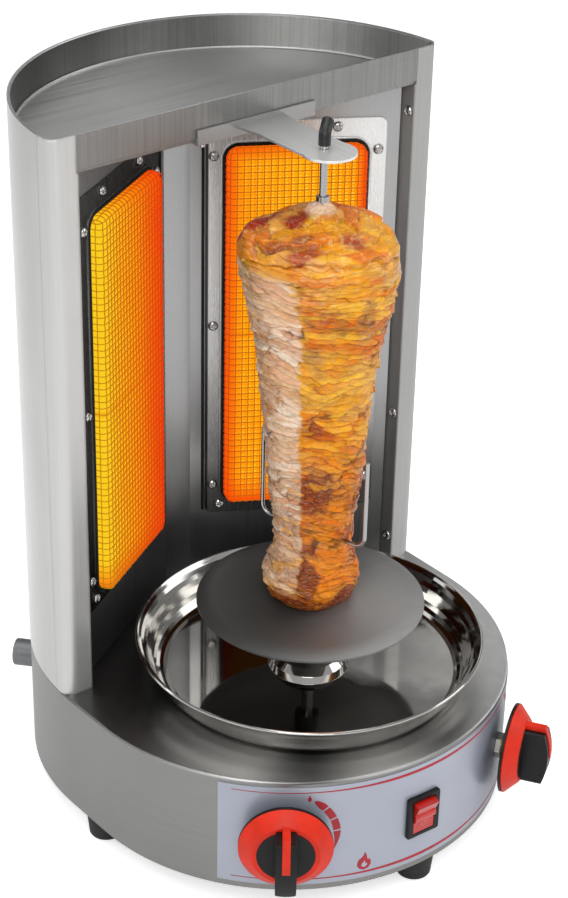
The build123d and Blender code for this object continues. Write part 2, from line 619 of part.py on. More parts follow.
gland = cyl(9, 0, 3) + cyl(6.5, 2.5, 7.5) + cyl(6.1, -7, 1) + cyl(9, -8, -5)
gland -= Cylinder(3.2, 60)
save("cord_gland", rear_loc(CORD_ANGLE, CORD_Z) * gland)

cord_out = outward(CORD_ANGLE)
cord_start = arc_point(REAR_Y, BASE_R - 30, CORD_ANGLE, CORD_Z)
cord_bend = arc_point(REAR_Y, BASE_R + 9, CORD_ANGLE, CORD_Z)
hang = Spline([cord_bend, cord_bend + cord_out * 16 + Vector(0, 0, -20),
               cord_bend + cord_out * 20 + Vector(0, 0, -42)],
              tangents=[cord_out, Vector(0, 0, -1)])
save("power_cord", tube(Line(cord_start, cord_bend), CORD_R) + tube(hang, CORD_R))

block = box(62, 92, 80, 98, FLOOR_TOP, FOOT_H + 17)
for x in (67, 77, 87):
    for y in (85, 93):
        block -= cyl(2.2, FOOT_H + 10, 60, x, y)
save("terminal_block", block)

# Three wires from the switch to the block, then two from the block towards the rear
wire_paths = []
for i, terminal_x in enumerate(TERMINALS_X):
    start = arc_point(FRONT_Y, 102.8 + FRONT_Y, SWITCH_ANGLE, SWITCH_Z)
    start = start + across(SWITCH_ANGLE) * terminal_x
    x = 67 + 10 * i
    wire_paths.append(Spline(
        [start, Vector(start.X + 30, -70 + 4 * i, 44 + 2 * i), Vector(x, 60, 34),
         Vector(x, 79.6, WIRE_Z)],
        tangents=[outward(SWITCH_ANGLE) * -1, Vector(0, 1, 0)]))
for i in range(2):
    wire_paths.append(Spline(
        [(67 + 10 * i, 98.4, WIRE_Z), (75 + 10 * i, 130, 36), (88 - 2 * i, 150 + 4 * i, 44)],
        tangents=[(0, 1, 0), (0.4, 0.6, 0.4)]))
save("wiring", *[tube(path, 1.1) for path in wire_paths])
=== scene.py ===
"""Upright gas grill: a stack of roast meat on a turning skewer, in front of two glowing burners.

Metres, +Z up. The controls face -Y, the burners stand behind the meat (+Y) and left is -X.
Shapes and materials are laid out about the skewer's axis; AXIS_Y moves them into the frame.
"""
import math
from functools import partialmethod
import bpy
import numpy as np
from mathutils import Matrix, Vector


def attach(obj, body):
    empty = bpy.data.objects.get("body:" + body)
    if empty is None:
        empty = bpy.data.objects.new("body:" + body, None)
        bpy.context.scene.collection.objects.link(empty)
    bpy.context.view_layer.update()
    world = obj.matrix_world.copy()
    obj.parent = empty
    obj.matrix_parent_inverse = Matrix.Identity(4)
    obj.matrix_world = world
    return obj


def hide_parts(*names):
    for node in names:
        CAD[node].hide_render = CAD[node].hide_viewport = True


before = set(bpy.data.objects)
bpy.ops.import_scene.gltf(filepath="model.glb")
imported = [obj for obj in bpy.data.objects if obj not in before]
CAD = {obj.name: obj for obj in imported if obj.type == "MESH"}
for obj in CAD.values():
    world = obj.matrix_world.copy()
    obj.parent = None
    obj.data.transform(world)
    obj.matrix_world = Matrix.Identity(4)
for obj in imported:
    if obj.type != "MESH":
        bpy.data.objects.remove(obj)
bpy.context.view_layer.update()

scene = bpy.context.scene

AXIS_Y = -0.041873              # the skewer's axis along Y
HOOD_Y = 0.07                   # centre of the hood's and tray's curve, behind the axis

# Burner window: its corner nearest the middle, width, heights and rounded corners.
BURNER_ANGLE = math.radians(30.3)
BURNER_ORIGIN = np.array([0.0285, 0.1373, 0.0])
BURNER_ALONG = np.array([math.cos(BURNER_ANGLE), -math.sin(BURNER_ANGLE), 0.0])
BURNER_FACING = np.array([-math.sin(BURNER_ANGLE), -math.cos(BURNER_ANGLE), 0.0])
BURNER_WIDTH, BURNER_Z0, BURNER_Z1 = 0.101, 0.1748, 0.4634
BURNER_HEIGHT = BURNER_Z1 - BURNER_Z0
WINDOW_CORNER = 0.009
PITCH = 0.0049                  # of the gauze wires and of the flame ports
SIDES = ((1, "right"), (-1, "left"))

# Control film: radius, centre along Y and thickness of the ink on it.
FILM_RADIUS, FILM_Y, INK = 0.1655, 0.0265, 0.00014


# ------------------------------------------------------------------ colours
def lin(*rgb):
    """sRGB 0-255 (a single value is a grey) to linear RGBA."""
    scaled = [v / 255.0 for v in (rgb * 3 if len(rgb) == 1 else rgb)]
    return tuple(v / 12.92 if v <= 0.04045 else ((v + 0.055) / 1.055) ** 2.4
                 for v in scaled) + (1.0,)


def shade(rgb, factor):
    return lin(*(v * factor for v in rgb))


def grey(value):
    return (value, value, value, 1)


def triple(value):
    return value if isinstance(value, tuple) else (value, value, value)


# ------------------------------------------------------------------ node helpers
class Nodes:
    """Adds shader nodes to a tree. Every input takes either a plain value or a socket."""

    def __init__(self, tree):
        self.tree = tree
        tree.nodes.clear()

    def feed(self, socket, value):
        if isinstance(value, bpy.types.NodeSocket):
            self.tree.links.new(value, socket)
        else:
            socket.default_value = value

    def node(self, kind, inputs=None, **settings):
        made = self.tree.nodes.new("ShaderNode" + kind)
        for key, value in settings.items():
            setattr(made, key, value)
        for key, value in (inputs or {}).items():
            self.feed(made.inputs[key], value)
        return made

    def ramp(self, factor, stops, interpolation="LINEAR"):
        """Colour ramp; stops are (position, linear RGBA)."""
        made = self.node("ValToRGB", {"Fac": factor})
        made.color_ramp.interpolation = interpolation
        elements = made.color_ramp.elements
        while len(elements) > 1:
            elements.remove(elements[-1])
        elements[0].position, elements[0].color = stops[0]
        for position, colour in stops[1:]:
            elements.new(position).color = colour
        return made.outputs["Color"]

    def hues(self, factor, stops, interpolation="LINEAR"):
        """Ramp with stops (position, sRGB grey) or (position, red, green, blue)."""
        return self.ramp(factor, [(at, lin(*rgb)) for at, *rgb in stops], interpolation)

    def greys(self, factor, stops):
        """Ramp with stops (position, linear grey)."""
        return self.ramp(factor, [(at, grey(value)) for at, value in stops])

    def remap(self, value, low, high, to=(0, 1), clamp=True):
        """Maps low..high onto the range to."""
        return self.node("MapRange", {"Value": value, "From Min": low, "From Max": high,
                                      "To Min": to[0], "To Max": to[1]},
                         clamp=clamp).outputs["Result"]

    def math(self, operation, *values):
        return self.node("Math", dict(enumerate(values)), operation=operation).outputs[0]

    add = partialmethod(math, "ADD")
    sub = partialmethod(math, "SUBTRACT")
    mul = partialmethod(math, "MULTIPLY")
    div = partialmethod(math, "DIVIDE")

    def mix(self, factor, a, b, blend="MIX"):
        return self.node("Mix", {0: factor, 6: a, 7: b},
                         data_type="RGBA", blend_type=blend).outputs[2]

    def tint(self, a, b):
        return self.mix(1.0, a, b, "MULTIPLY")

    def camera_ray(self, unseen, seen):
        """One value for light cast on other things, another for what the camera sees."""
        return self.remap(self.node("LightPath").outputs["Is Camera Ray"], 0, 1, to=(unseen, seen))


class Mat(Nodes):
    """A material with one Principled shader, its textures placed from the skewer's axis."""

    def __init__(self, name):
        self.material = bpy.data.materials.new(name)
        self.material.use_nodes = True
        super().__init__(self.material.node_tree)
        self.shader = self.node("BsdfPrincipled")
        self.node("OutputMaterial", {0: self.shader.outputs[0]})
        place = self.node("TexCoord").outputs["Object"]
        self.place = self.node("VectorMath", {0: place, 1: (0.0, -AXIS_Y, 0.0)},
                               operation="ADD").outputs[0]

    def noise(self, rate, detail=2.0, roughness=0.5, distortion=0.0):
        """Noise; rate is how fast it changes along X, Y and Z (1/m)."""
        vector = self.node("Mapping", {"Scale": triple(rate), "Vector": self.place}).outputs[0]
        return self.node("TexNoise", {"Vector": vector, "Scale": 1.0, "Detail": detail,
                                      "Roughness": roughness,
                                      "Distortion": distortion}).outputs["Fac"]

    def xyz(self, vector=None):
        return self.node("SeparateXYZ", {0: vector or self.place}).outputs[:3]

    def normal_z(self):
        return self.xyz(self.node("NewGeometry").outputs["True Normal"])[2]

    def bearing(self, x, y):
        """Degrees 0-360 round Z, anticlockwise from +X."""
        turned = self.add(self.math("DEGREES", self.math("ARCTAN2", y, x)), 720.0)
        return self.math("MODULO", turned, 360.0)

    def bump(self, height, strength, distance, bevel=0.0):
        """Relief, over edges rounded by the radius bevel."""
        inputs = {"Strength": strength, "Distance": distance, "Height": height}
        if bevel:
            inputs["Normal"] = self.node("Bevel", {"Radius": bevel}, samples=4).outputs[0]
        self.set(Normal=self.node("Bump", inputs).outputs[0])

    def set(self, **inputs):
        for key, value in inputs.items():
            self.feed(self.shader.inputs[key.replace("_", " ")], value)


def painted_sheen(m, stops, about_y=0.0, wobble=0.0):
    """Painted sheen: grey bands of reflected light and shade painted by the bearing round (0,
    about_y); stops are (degrees, sRGB grey).
    """
    x, y, _ = m.xyz()
    angle = m.bearing(m.sub(x, 0.0), m.sub(y, about_y))
    if wobble:
        shift = m.remap(m.noise(9), 0.2, 0.8, to=(-wobble, wobble), clamp=False)
        angle = m.add(angle, shift)
    return m.hues(m.div(angle, 360.0), [(degrees / 360.0, g, g, g * 0.992)
                                        for degrees, g in stops], "B_SPLINE")


def steel(name, roughness, streak, colour=None, base=None, spread=0.10, grain=0.10, bump=0.12,
          aniso=0.0, bevel=0.0, smudge=0.5, metallic=1.0):
    """Brushed sheet; streak is how fast the grain changes along X, Y and Z (1/m).

    Its colour is an sRGB colour varied by spread, or base(material) varied by grain; each base
    here paints sheen, light or shade into the colour.
    """
    m = Mat(name)
    streak = triple(streak)
    fine = m.noise(streak, roughness=0.6)
    broad = m.noise(tuple(s * 0.22 for s in streak), detail=3.0, roughness=0.6)
    cloud = m.noise((14, 14, 9), detail=4.0, roughness=0.6)
    brushed = m.add(m.mul(fine, 0.55), m.mul(broad, 0.45))
    contrast = m.remap(brushed, 0.32, 0.68)
    if base is None:
        tone = m.mix(contrast, shade(colour, 1 - spread), shade(colour, 1 + spread))
    else:
        tone = m.tint(base(m), m.greys(contrast, [(0, 1 - grain), (1, 1 + grain)]))
    tone = m.mix(m.remap(cloud, 0.35, 0.7, to=(0, 0.22 * smudge)), tone,
                 (0.55, 0.55, 0.54, 1), "MULTIPLY")
    m.set(Base_Color=tone, Metallic=metallic,
          Roughness=m.add(m.remap(brushed, 0.3, 0.7, to=(roughness * 0.82, roughness * 1.2)),
                          m.remap(cloud, 0.4, 0.75, to=(0.0, 0.07 * smudge))))
    m.bump(brushed, strength=bump, distance=0.0002, bevel=bevel)
    if aniso:
        tangent = m.node("Tangent", direction_type="RADIAL", axis="Z").outputs[0]
        m.set(Anisotropic=aniso, Tangent=tangent)
    return m


def plastic(name, colour, roughness, grain, bump, bevel=0.0005, spread=0.06, coat=0.0,
            specular=0.5):
    """Moulded or painted surface; grain is the rate of its fine relief (1/m)."""
    m = Mat(name)
    relief = m.noise(grain)
    cloud = m.noise(60, detail=3.0)
    m.set(Base_Color=m.mix(m.remap(cloud, 0.3, 0.7),
                           shade(colour, 1 - spread), shade(colour, 1 + spread)),
          Roughness=m.remap(cloud, 0.3, 0.7, to=(roughness * 0.85, roughness * 1.15)),
          Coat_Weight=coat, Coat_Roughness=0.15, Specular_IOR_Level=specular)
    m.bump(relief, strength=bump, distance=0.0001, bevel=bevel)
    return m


def give(mat, names):
    """Puts one material on each of the CAD pieces named."""
    for name in names.split():
        slots = CAD[name].data.materials
        slots.clear()
        slots.append(mat.material)


# ------------------------------------------------------------------ painted sheen tables
# (bearing in degrees, sRGB grey): light and shade of reflections painted into the steel's colour
HOOD_PAINTED_SHEEN = [
    (0, 168), (20, 200), (45, 226), (70, 205), (95, 216), (120, 228), (140, 226), (150, 236),
    (156, 222), (163, 203), (170, 196), (177, 206), (184, 214), (200, 212), (300, 180),
    (340, 160), (360, 168)]
TRAY_PAINTED_SHEEN = [
    (0, 150), (10, 150), (20, 182), (30, 226), (40, 196), (52, 140), (62, 130), (72, 150),
    (82, 160), (91, 112), (100, 70), (112, 96), (130, 84), (142, 96), (155, 122), (165, 134),
    (180, 150), (360, 150)]
DECK_PAINTED_SHEEN = [
    (0, 255), (20, 225), (50, 130), (130, 112), (165, 104), (186, 152), (200, 192), (212, 216),
    (220, 152), (228, 90), (236, 108), (244, 190), (254, 222), (264, 190), (275, 136),
    (284, 150), (296, 205), (312, 240), (330, 255), (345, 255), (360, 255)]
DISC_PAINTED_SHEEN = [
    (0, 150), (25, 128), (60, 112), (110, 106), (150, 106), (180, 92), (205, 86), (230, 112),
    (262, 154), (290, 176), (320, 176), (345, 160), (360, 150)]


# ------------------------------------------------------------------ sheet metal
# painted sheen: light and dark bands of reflection round the hood's curve, also on the posts and
# the tray's seam bead
def hood_painted_sheen(m):
    return painted_sheen(m, HOOD_PAINTED_SHEEN, HOOD_Y)


def tray_painted_light(m):
    """Painted sheen with brushed streaks on the upright walls, and a plain painted left-to-right
    fade of light on level faces, darker to the right.
    """
    wall = painted_sheen(m, TRAY_PAINTED_SHEEN, about_y=0.0765)
    # painted light on level faces: bright at the left, painted shade towards the right
    flat = m.hues(m.remap(m.xyz()[0], -0.16, 0.16), [
        (0, 214, 214, 212), (0.35, 226, 226, 224), (0.55, 200, 200, 198),
        (0.75, 158, 158, 156), (1, 152, 151, 150)])
    upright = m.remap(m.noise((620, 620, 5), detail=3.0, roughness=0.7), 0.3, 0.7)
    wall = m.tint(wall, m.ramp(upright, [(0, grey(0.86)), (1, (1.14, 1.14, 1.13, 1))]))
    level = m.remap(m.math("ABSOLUTE", m.normal_z()), 0.35, 0.8)
    return m.mix(level, wall, flat)


def reflector_painted_reflection(m):
    """Painted reflection: lighter high up, with painted shade darker low down."""
    z = m.xyz()[2]
    waver = m.remap(m.noise((30, 30, 2)), 0.3, 0.7, to=(-0.03, 0.03), clamp=False)
    return m.hues(m.add(m.remap(z, 0.12, 0.52), waver), [
        (0, 104), (0.15, 118), (0.24, 166), (0.36, 184), (0.55, 182), (1, 174)])


def burner_frame_painted_light(m):
    """Painted reflection and shade: left plate dark, right plate bright, both darker low down and
    at the middle edges, where painted shadow marks the slot.
    """
    x, _, z = m.xyz()
    across = m.hues(m.remap(x, -0.13, 0.13), [
        (0, 84), (0.35, 66), (0.46, 60), (0.5, 244, 244, 242), (0.85, 240, 240, 238),
        (1, 240, 240, 238)])
    down = m.greys(m.remap(z, 0.16, 0.48), [
        (0, 0.08), (0.1, 0.12), (0.16, 0.30), (0.25, 0.64), (0.4, 0.8), (0.66, 0.92), (0.9, 1)])
    painted_slot_shadow = m.remap(m.math("ABSOLUTE", x), 0.0219, 0.0226, to=(0.05, 1.0))
    return m.tint(m.tint(across, down), m.greys(painted_slot_shadow, [(0, 0), (1, 1)]))


def bracket_painted_light(m):
    """Painted light: bright at the front, with painted shade darker towards the back."""
    return m.hues(m.remap(m.xyz()[1], -0.03, 0.10), [
        (0, 246, 246, 244), (0.3, 232, 232, 230), (0.7, 168, 168, 166), (0.85, 158, 158, 156),
        (1, 164, 164, 162)])


def pan_steel():
    """Mirror steel, duller over the front right of the pan's floor."""
    m = steel("pan_mirror", roughness=0.055, streak=40, colour=(190, 188, 184), spread=0.03,
              bump=0.012, smudge=1.0, bevel=0.0006)
    x, y, _ = m.xyz()
    waver = m.remap(m.noise(30, detail=3.0, roughness=0.6), 0.2, 0.8, to=(-12, 12), clamp=False)
    angle = m.add(m.bearing(x, y), waver)
    sector = m.mul(m.remap(angle, 286, 308), m.remap(angle, 349, 356, to=(1, 0)))
    dull = m.mul(sector, m.remap(m.normal_z(), 0.9, 0.97))
    cloud = m.noise(16, detail=3.0, roughness=0.55)
    dull = m.mul(dull, m.remap(cloud, 0.35, 0.6, to=(0.7, 1.0)))
    m.set(Metallic=m.remap(dull, 0, 1, to=(1.0, 0.2)))
    return m


def film_finish():
    """Blue-grey control film, with painted shade making it darker towards the right."""
    m = Mat("control_film")
    fine = m.noise(900)
    cloud = m.noise((9, 9, 14))
    painted_shade = m.ramp(m.remap(m.xyz()[0], -0.14, 0.14), [
        (0, grey(1)), (0.52, grey(1)), (0.64, (0.90, 0.90, 0.91, 1)),
        (0.74, (0.74, 0.74, 0.76, 1)), (0.84, (0.60, 0.60, 0.62, 1)),
        (1, (0.58, 0.58, 0.60, 1))], "EASE")
    tone = m.mix(m.remap(cloud, 0.3, 0.7), lin(163, 168, 181), lin(174, 179, 191))
    m.set(Base_Color=m.tint(tone, painted_shade), Metallic=0.35,
          Roughness=m.remap(fine, 0.3, 0.7, to=(0.34, 0.42)),
          Coat_Weight=0.25, Coat_Roughness=0.25)
    m.bump(fine, strength=0.06, distance=0.0001)
    return m


hood_steel = steel("hood_brushed", roughness=0.30, streak=(900, 900, 7), base=hood_painted_sheen,
                   grain=0.05, bump=0.10, aniso=0.55)
post_steel = steel("post_brushed", roughness=0.34, streak=(1100, 1100, 7), base=hood_painted_sheen,
                   grain=0.06, bevel=0.003, metallic=0.72)
tray_steel = steel("tray_brushed", roughness=0.38, streak=(9, 1300, 900), base=tray_painted_light,
                   grain=0.06, bump=0.10, bevel=0.0008)
base_steel = steel("base_brushed", roughness=0.34, streak=(8, 8, 1300), colour=(143, 143, 141),
                   spread=0.03, bump=0.07, aniso=0.4, smudge=0.4)
# painted sheen on the deck: bands of reflected light and shade by bearing round the axis
deck_steel = steel("deck_satin", roughness=0.34, streak=500,
                   base=lambda m: painted_sheen(m, DECK_PAINTED_SHEEN, wobble=3.0),
                   grain=0.03, bump=0.02, smudge=0.35, bevel=0.0016)
# painted sheen on the meat plate: lighter towards the front and front right, darker at the back
# and left
disc_steel = steel("plate_satin", roughness=0.46, streak=(14, 1500, 700),
                   base=lambda m: painted_sheen(m, DISC_PAINTED_SHEEN, wobble=4.0),
                   grain=0.06, bump=0.08, bevel=0.0006, metallic=0.68)
reflector_steel = steel("reflector_polished", roughness=0.30, streak=(1100, 1100, 6),
                        base=reflector_painted_reflection, grain=0.06, bump=0.05, metallic=0.8)
frame_steel = steel("burner_frame_steel", roughness=0.25, streak=(700, 700, 40),
                    base=burner_frame_painted_light, grain=0.05, bump=0.06, bevel=0.0006, metallic=0.5)
bracket_steel = steel("bracket_satin", roughness=0.36, streak=(1200, 30, 1200),
                      base=bracket_painted_light, grain=0.05, bump=0.06, bevel=0.0006, metallic=0.72)
film = film_finish()

for mat, names in (
        (hood_steel, "hood_shell"),
        (post_steel, "hood_post_left hood_post_right"),
        (tray_steel, "top_tray"),
        (bracket_steel, "skewer_bracket"),
        (base_steel, "base_skirt base_floor motor_bracket"),
        (deck_steel, "base_deck"),
        (disc_steel, "meat_plate"),
        (reflector_steel, "inner_reflector"),
        (frame_steel, "burner_frame_left burner_frame_right"),
        (pan_steel(), "drip_pan"),
        (film, "control_overlay")):
    give(mat, names)

# ------------------------------------------------------------------ plain metals and plastics
# name, sRGB colour, roughness, streak rate, spread, bump, bevel, metallic, CAD pieces
METALS = [
    ("bright_hardware", (205, 205, 203), 0.14, 300, 0.04, 0.03, 0, 1.0,
     "burner_screws hood_screws bracket_screws drive_coupling"),
    ("skewer_bar", (178, 178, 178), 0.22, (1500, 1500, 12), 0.06, 0.08, 0.0004, 1.0,
     "skewer_rod meat_fork lock_pin"),
    ("zinc_hardware", (165, 165, 158), 0.35, 500, 0.08, 0.08, 0, 1.0,
     "foot_screws motor_screws valve_stem_left valve_stem_right drive_shaft"),
    ("burner_sheet", (140, 140, 137), 0.42, (300, 300, 20), 0.08, 0.12, 0, 1.0,
     "mixing_tubes burner_box_left burner_box_right"),
    ("gas_tube", (170, 170, 170), 0.33, 300, 0.06, 0.06, 0, 1.0, "gas_manifold burner_pipes"),
    ("inlet_grey", (128, 129, 131), 0.42, 400, 0.06, 0.10, 0.0006, 0.7, "gas_inlet"),
    ("valve_brass", (196, 160, 92), 0.32, 400, 0.08, 0.10, 0, 1.0,
     "gas_valve_left gas_valve_right valve_plug_left valve_plug_right injectors"),
    ("bush_bronze", (178, 140, 84), 0.38, 400, 0.08, 0.10, 0, 1.0, "shaft_bush"),
    ("hub_dark_polish", (92, 92, 90), 0.12, 60, 0.05, 0.02, 0.0008, 1.0, "plate_collar"),
]
# name, sRGB colour, roughness, grain rate, bump, bevel, spread, coat, specular, CAD pieces
PLASTICS = [
    ("black_plastic", (11, 11, 12), 0.40, 2200, 0.10, 0.0005, 0.06, 0, 0.30,
     "switch_housing knob_grip_left knob_grip_right cord_gland"),
    ("red_plastic", (214, 44, 20), 0.46, 2200, 0.06, 0.0006, 0.06, 0, 0.25,
     "knob_cone_left knob_cone_right"),
    ("rocker_red", (186, 24, 14), 0.22, 1200, 0.03, 0.0007, 0.06, 0.5, 0.5, "rocker"),
    ("black_rubber", (22, 22, 23), 0.62, 1500, 0.25, 0.001, 0.06, 0, 0.5, "rubber_feet"),
    ("sleeve_vinyl", (20, 21, 22), 0.38, 900, 0.35, 0.0006, 0.06, 0, 0.5, "pin_sleeve"),
    ("motor_enamel", (88, 90, 92), 0.5, 900, 0.2, 0.0005, 0.1, 0, 0.5, "gear_motor"),
    ("terminal_block", (212, 206, 190), 0.5, 1500, 0.1, 0.0005, 0.06, 0, 0.5,
     "terminal_block"),
    ("cord_jacket", (24, 24, 25), 0.5, 1800, 0.15, 0.0005, 0.06, 0, 0.5, "power_cord wiring"),
    ("meat_core", (200, 130, 60), 0.5, 400, 0.3, 0.0005, 0.06, 0, 0.5, "meat_stack"),
]

metals = {}
for name, colour, roughness, streak, spread, bump, bevel, metallic, names in METALS:
    metals[name] = steel(name, roughness, streak, colour, spread=spread, bump=bump, bevel=bevel,
                         metallic=metallic)
    give(metals[name], names)
for name, *look, names in PLASTICS:
    give(plastic(name, *look), names)
# These two are not in every set of CAD pieces.
for name in ("valve_nuts", "valve_screws"):
    if name in CAD:
        give(metals["zinc_hardware"], name)

# ------------------------------------------------------------------ burner glow
# By side: stops (share of the width outwards from the middle, sRGB red, green, blue).
GLOW = {
    -1: {
        "wire": [(0, 224, 40, 4), (0.3, 214, 78, 4), (0.8, 204, 118, 8), (1, 196, 142, 10)],
        "tile": [(0, 250, 52, 4), (0.14, 252, 66, 4), (0.32, 255, 104, 6), (0.5, 255, 142, 8),
                 (0.75, 255, 168, 14), (0.93, 252, 194, 24), (1, 250, 214, 36)],
        "hot": [(0, 255, 84, 8), (0.2, 255, 120, 16), (0.45, 255, 184, 26),
                (0.8, 255, 214, 44), (1, 255, 232, 60)],
        "rim": [(0, 250, 58, 6), (0.5, 255, 130, 8), (1, 250, 204, 30)]},
    1: {
        "wire": [(0, 222, 56, 6), (0.12, 210, 98, 6), (0.9, 210, 102, 6), (1, 228, 60, 6)],
        "tile": [(0, 250, 112, 8), (0.10, 255, 156, 8), (0.5, 255, 174, 10),
                 (0.92, 255, 156, 8), (1, 250, 84, 8)],
        "hot": [(0, 255, 160, 14), (0.15, 255, 216, 52), (0.9, 255, 226, 64),
                (1, 255, 130, 10)],
        "rim": [(0, 246, 92, 8), (0.5, 255, 120, 8), (1, 250, 74, 8)]},
}
UNSEEN_GLOW = 0.03              # strength of the light the burners cast on other things
TILE_SEAM_Z = 0.3192


def burner_point(side, along, back, z):
    """Point by distance along the burner and back from its face, right (1) or left (-1)."""
    x, y, _ = BURNER_ORIGIN + along * BURNER_ALONG - back * BURNER_FACING
    return side * x, y, z


def glow_coords(m, side):
    """Distance along the burner, and height."""
    x, y, z = m.xyz()
    along = m.add(m.mul(m.sub(x, side * BURNER_ORIGIN[0]), side * BURNER_ALONG[0]),
                  m.mul(m.sub(y, BURNER_ORIGIN[1]), BURNER_ALONG[1]))
    return along, z


def wire_glow(side):
    m = Mat("gauze_wire_" + ("r" if side > 0 else "l"))
    along, _ = glow_coords(m, side)
    fine = m.noise(500)
    hue = m.hues(m.remap(along, 0.0, BURNER_WIDTH), GLOW[side]["wire"])
    colour = m.mix(m.remap(fine, 0.35, 0.7, to=(0, 0.6)), hue, lin(176, 84, 8))
    m.set(Base_Color=lin(24, 10, 4), Roughness=0.7, Specular_IOR_Level=0.1,
          Emission_Color=colour, Emission_Strength=m.camera_ray(UNSEEN_GLOW, 1.0))
    m.bump(fine, strength=0.2, distance=0.0002)
    return m


def tile_glow(side):
    m = Mat("glowing_tile_" + ("r" if side > 0 else "l"))
    along, z = glow_coords(m, side)
    # 0 at the rim of the window, 1 inside it
    from_side = m.math("MINIMUM", along, m.sub(BURNER_WIDTH, along))
    from_end = m.math("MINIMUM", m.sub(z, BURNER_Z0), m.sub(BURNER_Z1, z))
    inside = m.remap(m.math("MINIMUM", from_side, from_end), 0.0, 0.010)
    cloud = m.noise((22, 22, 18), detail=3.0, roughness=0.6)
    patch = m.noise((60, 60, 45))
    seam = m.remap(m.math("ABSOLUTE", m.sub(z, TILE_SEAM_Z)), 0.0008, 0.0028)
    # flame ports: a bright ring in each square of a grid
    port_x = m.sub(m.math("FRACT", m.div(along, PITCH)), 0.5)
    port_z = m.sub(m.math("FRACT", m.div(m.sub(z, BURNER_Z0), PITCH)), 0.5)
    radius = m.math("SQRT", m.add(m.mul(port_x, port_x), m.mul(port_z, port_z)))
    ring = m.mul(m.remap(radius, 0.10, 0.24), m.remap(radius, 0.26, 0.42, to=(1, 0)))
    across = m.remap(along, 0.0, BURNER_WIDTH)
    tile, hot, rim = (m.hues(across, GLOW[side][key]) for key in ("tile", "hot", "rim"))
    # cloudy orange, bright ports, then the rim, the low edge and the seam
    tile = m.mix(m.remap(cloud, 0.40, 0.62, to=(0, 0.45)), tile,
                 m.mix(0.6, tile, lin(255, 120, 0)))
    colour = m.mix(m.mul(ring, m.remap(patch, 0.35, 0.6, to=(0.6, 1.0))), tile, hot)
    colour = m.mix(inside, rim, colour)
    low = m.remap(z, 0.178, 0.20, to=(1, 0))
    colour = m.mix(m.mul(low, 0.8), colour, lin(252, 66, 6))
    colour = m.mix(m.remap(seam, 0, 1, to=(0.35, 0)), colour, lin(230, 84, 4))
    m.set(Base_Color=lin(18, 6, 2), Roughness=0.9, Specular_IOR_Level=0.05,
          Emission_Color=colour, Emission_Strength=m.camera_ray(UNSEEN_GLOW, 1.0))
    m.bump(ring, strength=0.25, distance=0.0006)
    return m


for side, tag in SIDES:
    give(tile_glow(side), f"burner_gauze_{tag} ceramic_tiles_{tag}")


# ------------------------------------------------------------------ mesh helpers
def mesh_object(name, shape, mat, smooth=True):
    """Object from (vertices about the skewer's axis, faces)."""
    verts, faces = shape
    mesh = bpy.data.meshes.new(name)
    mesh.from_pydata([(x, y + AXIS_Y, z) for x, y, z in verts], [], faces)
    mesh.validate()
    mesh.update()
    made = bpy.data.objects.new(name, mesh)
    scene.collection.objects.link(made)
    mesh.materials.append(mat.material)
    if smooth:
        mesh.polygons.foreach_set("use_smooth", [True] * len(mesh.polygons))
    return made


def enrol(made, carrier="frame", replaces=None):
    if replaces:
        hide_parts(replaces)
    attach(made, carrier)


def joined(parts):
    verts, faces = [], []
    for part_verts, part_faces in parts:
        start = len(verts)
        verts += part_verts
        faces += [tuple(i + start for i in face) for face in part_faces]
    return verts, faces


def tube(path, radius, sides):
    """Round capped tube along a list of points."""
    path = np.asarray(path, float)
    count = len(path)
    along = np.gradient(path, axis=0)
    along /= np.maximum(np.linalg.norm(along, axis=1), 1e-12)[:, None]
    helper = np.array([0.13, 0.31, 0.94])
    if abs(along[0] @ helper) > 0.9:
        helper = np.array([0.9, 0.2, 0.1])
    across = np.cross(along[0], helper)
    across /= np.linalg.norm(across)
    verts, faces = [], []
    for point, ahead in zip(path, along):
        across = across - (across @ ahead) * ahead
        across /= np.linalg.norm(across)
        third = np.cross(ahead, across)
        for k in range(sides):
            turn = 2 * math.pi * k / sides
            verts.append(point + radius * (math.cos(turn) * across + math.sin(turn) * third))
    for i in range(0, (count - 1) * sides, sides):
        for k in range(sides):
            k2 = (k + 1) % sides
            faces.append((i + k, i + k2, i + sides + k2, i + sides + k))
    faces.append(tuple(reversed(range(sides))))
    faces.append(tuple((count - 1) * sides + k for k in range(sides)))
    return verts, faces


# ------------------------------------------------------------------ woven wire over each burner
DOME_ROUND, DOME_DEPTH = 0.0045, 0.0098     # edge radius and depth of the domed gauze
WIRE_RADIUS = 0.00038
WIRE_LIFT, WEAVE = 0.00042, 0.00028         # mean height off the dome, and swing either side
WIRE_INSET = 0.0002                         # of the outermost wires from the dome's edge


def section_length(width):
    return width - 2 * DOME_ROUND + math.pi * DOME_ROUND + 2 * (DOME_DEPTH - DOME_ROUND)


def section(t, width):
    """Position across the dome's section and depth back, at arc length t."""
    wall = DOME_DEPTH - DOME_ROUND
    arc = DOME_ROUND * math.pi / 2
    flat = width - 2 * DOME_ROUND
    if t < wall:
        return 0.0, DOME_DEPTH - t
    t -= wall
    if t < arc:
        turn = t / DOME_ROUND
        return DOME_ROUND * (1 - math.cos(turn)), DOME_ROUND * (1 - math.sin(turn))
    t -= arc
    if t < flat:
        return DOME_ROUND + t, 0.0
    t -= flat
    if t < arc:
        turn = t / DOME_ROUND
        return (width - DOME_ROUND + DOME_ROUND * math.sin(turn),
                DOME_ROUND * (1 - math.cos(turn)))
    t -= arc
    return width, DOME_ROUND + min(t, wall)


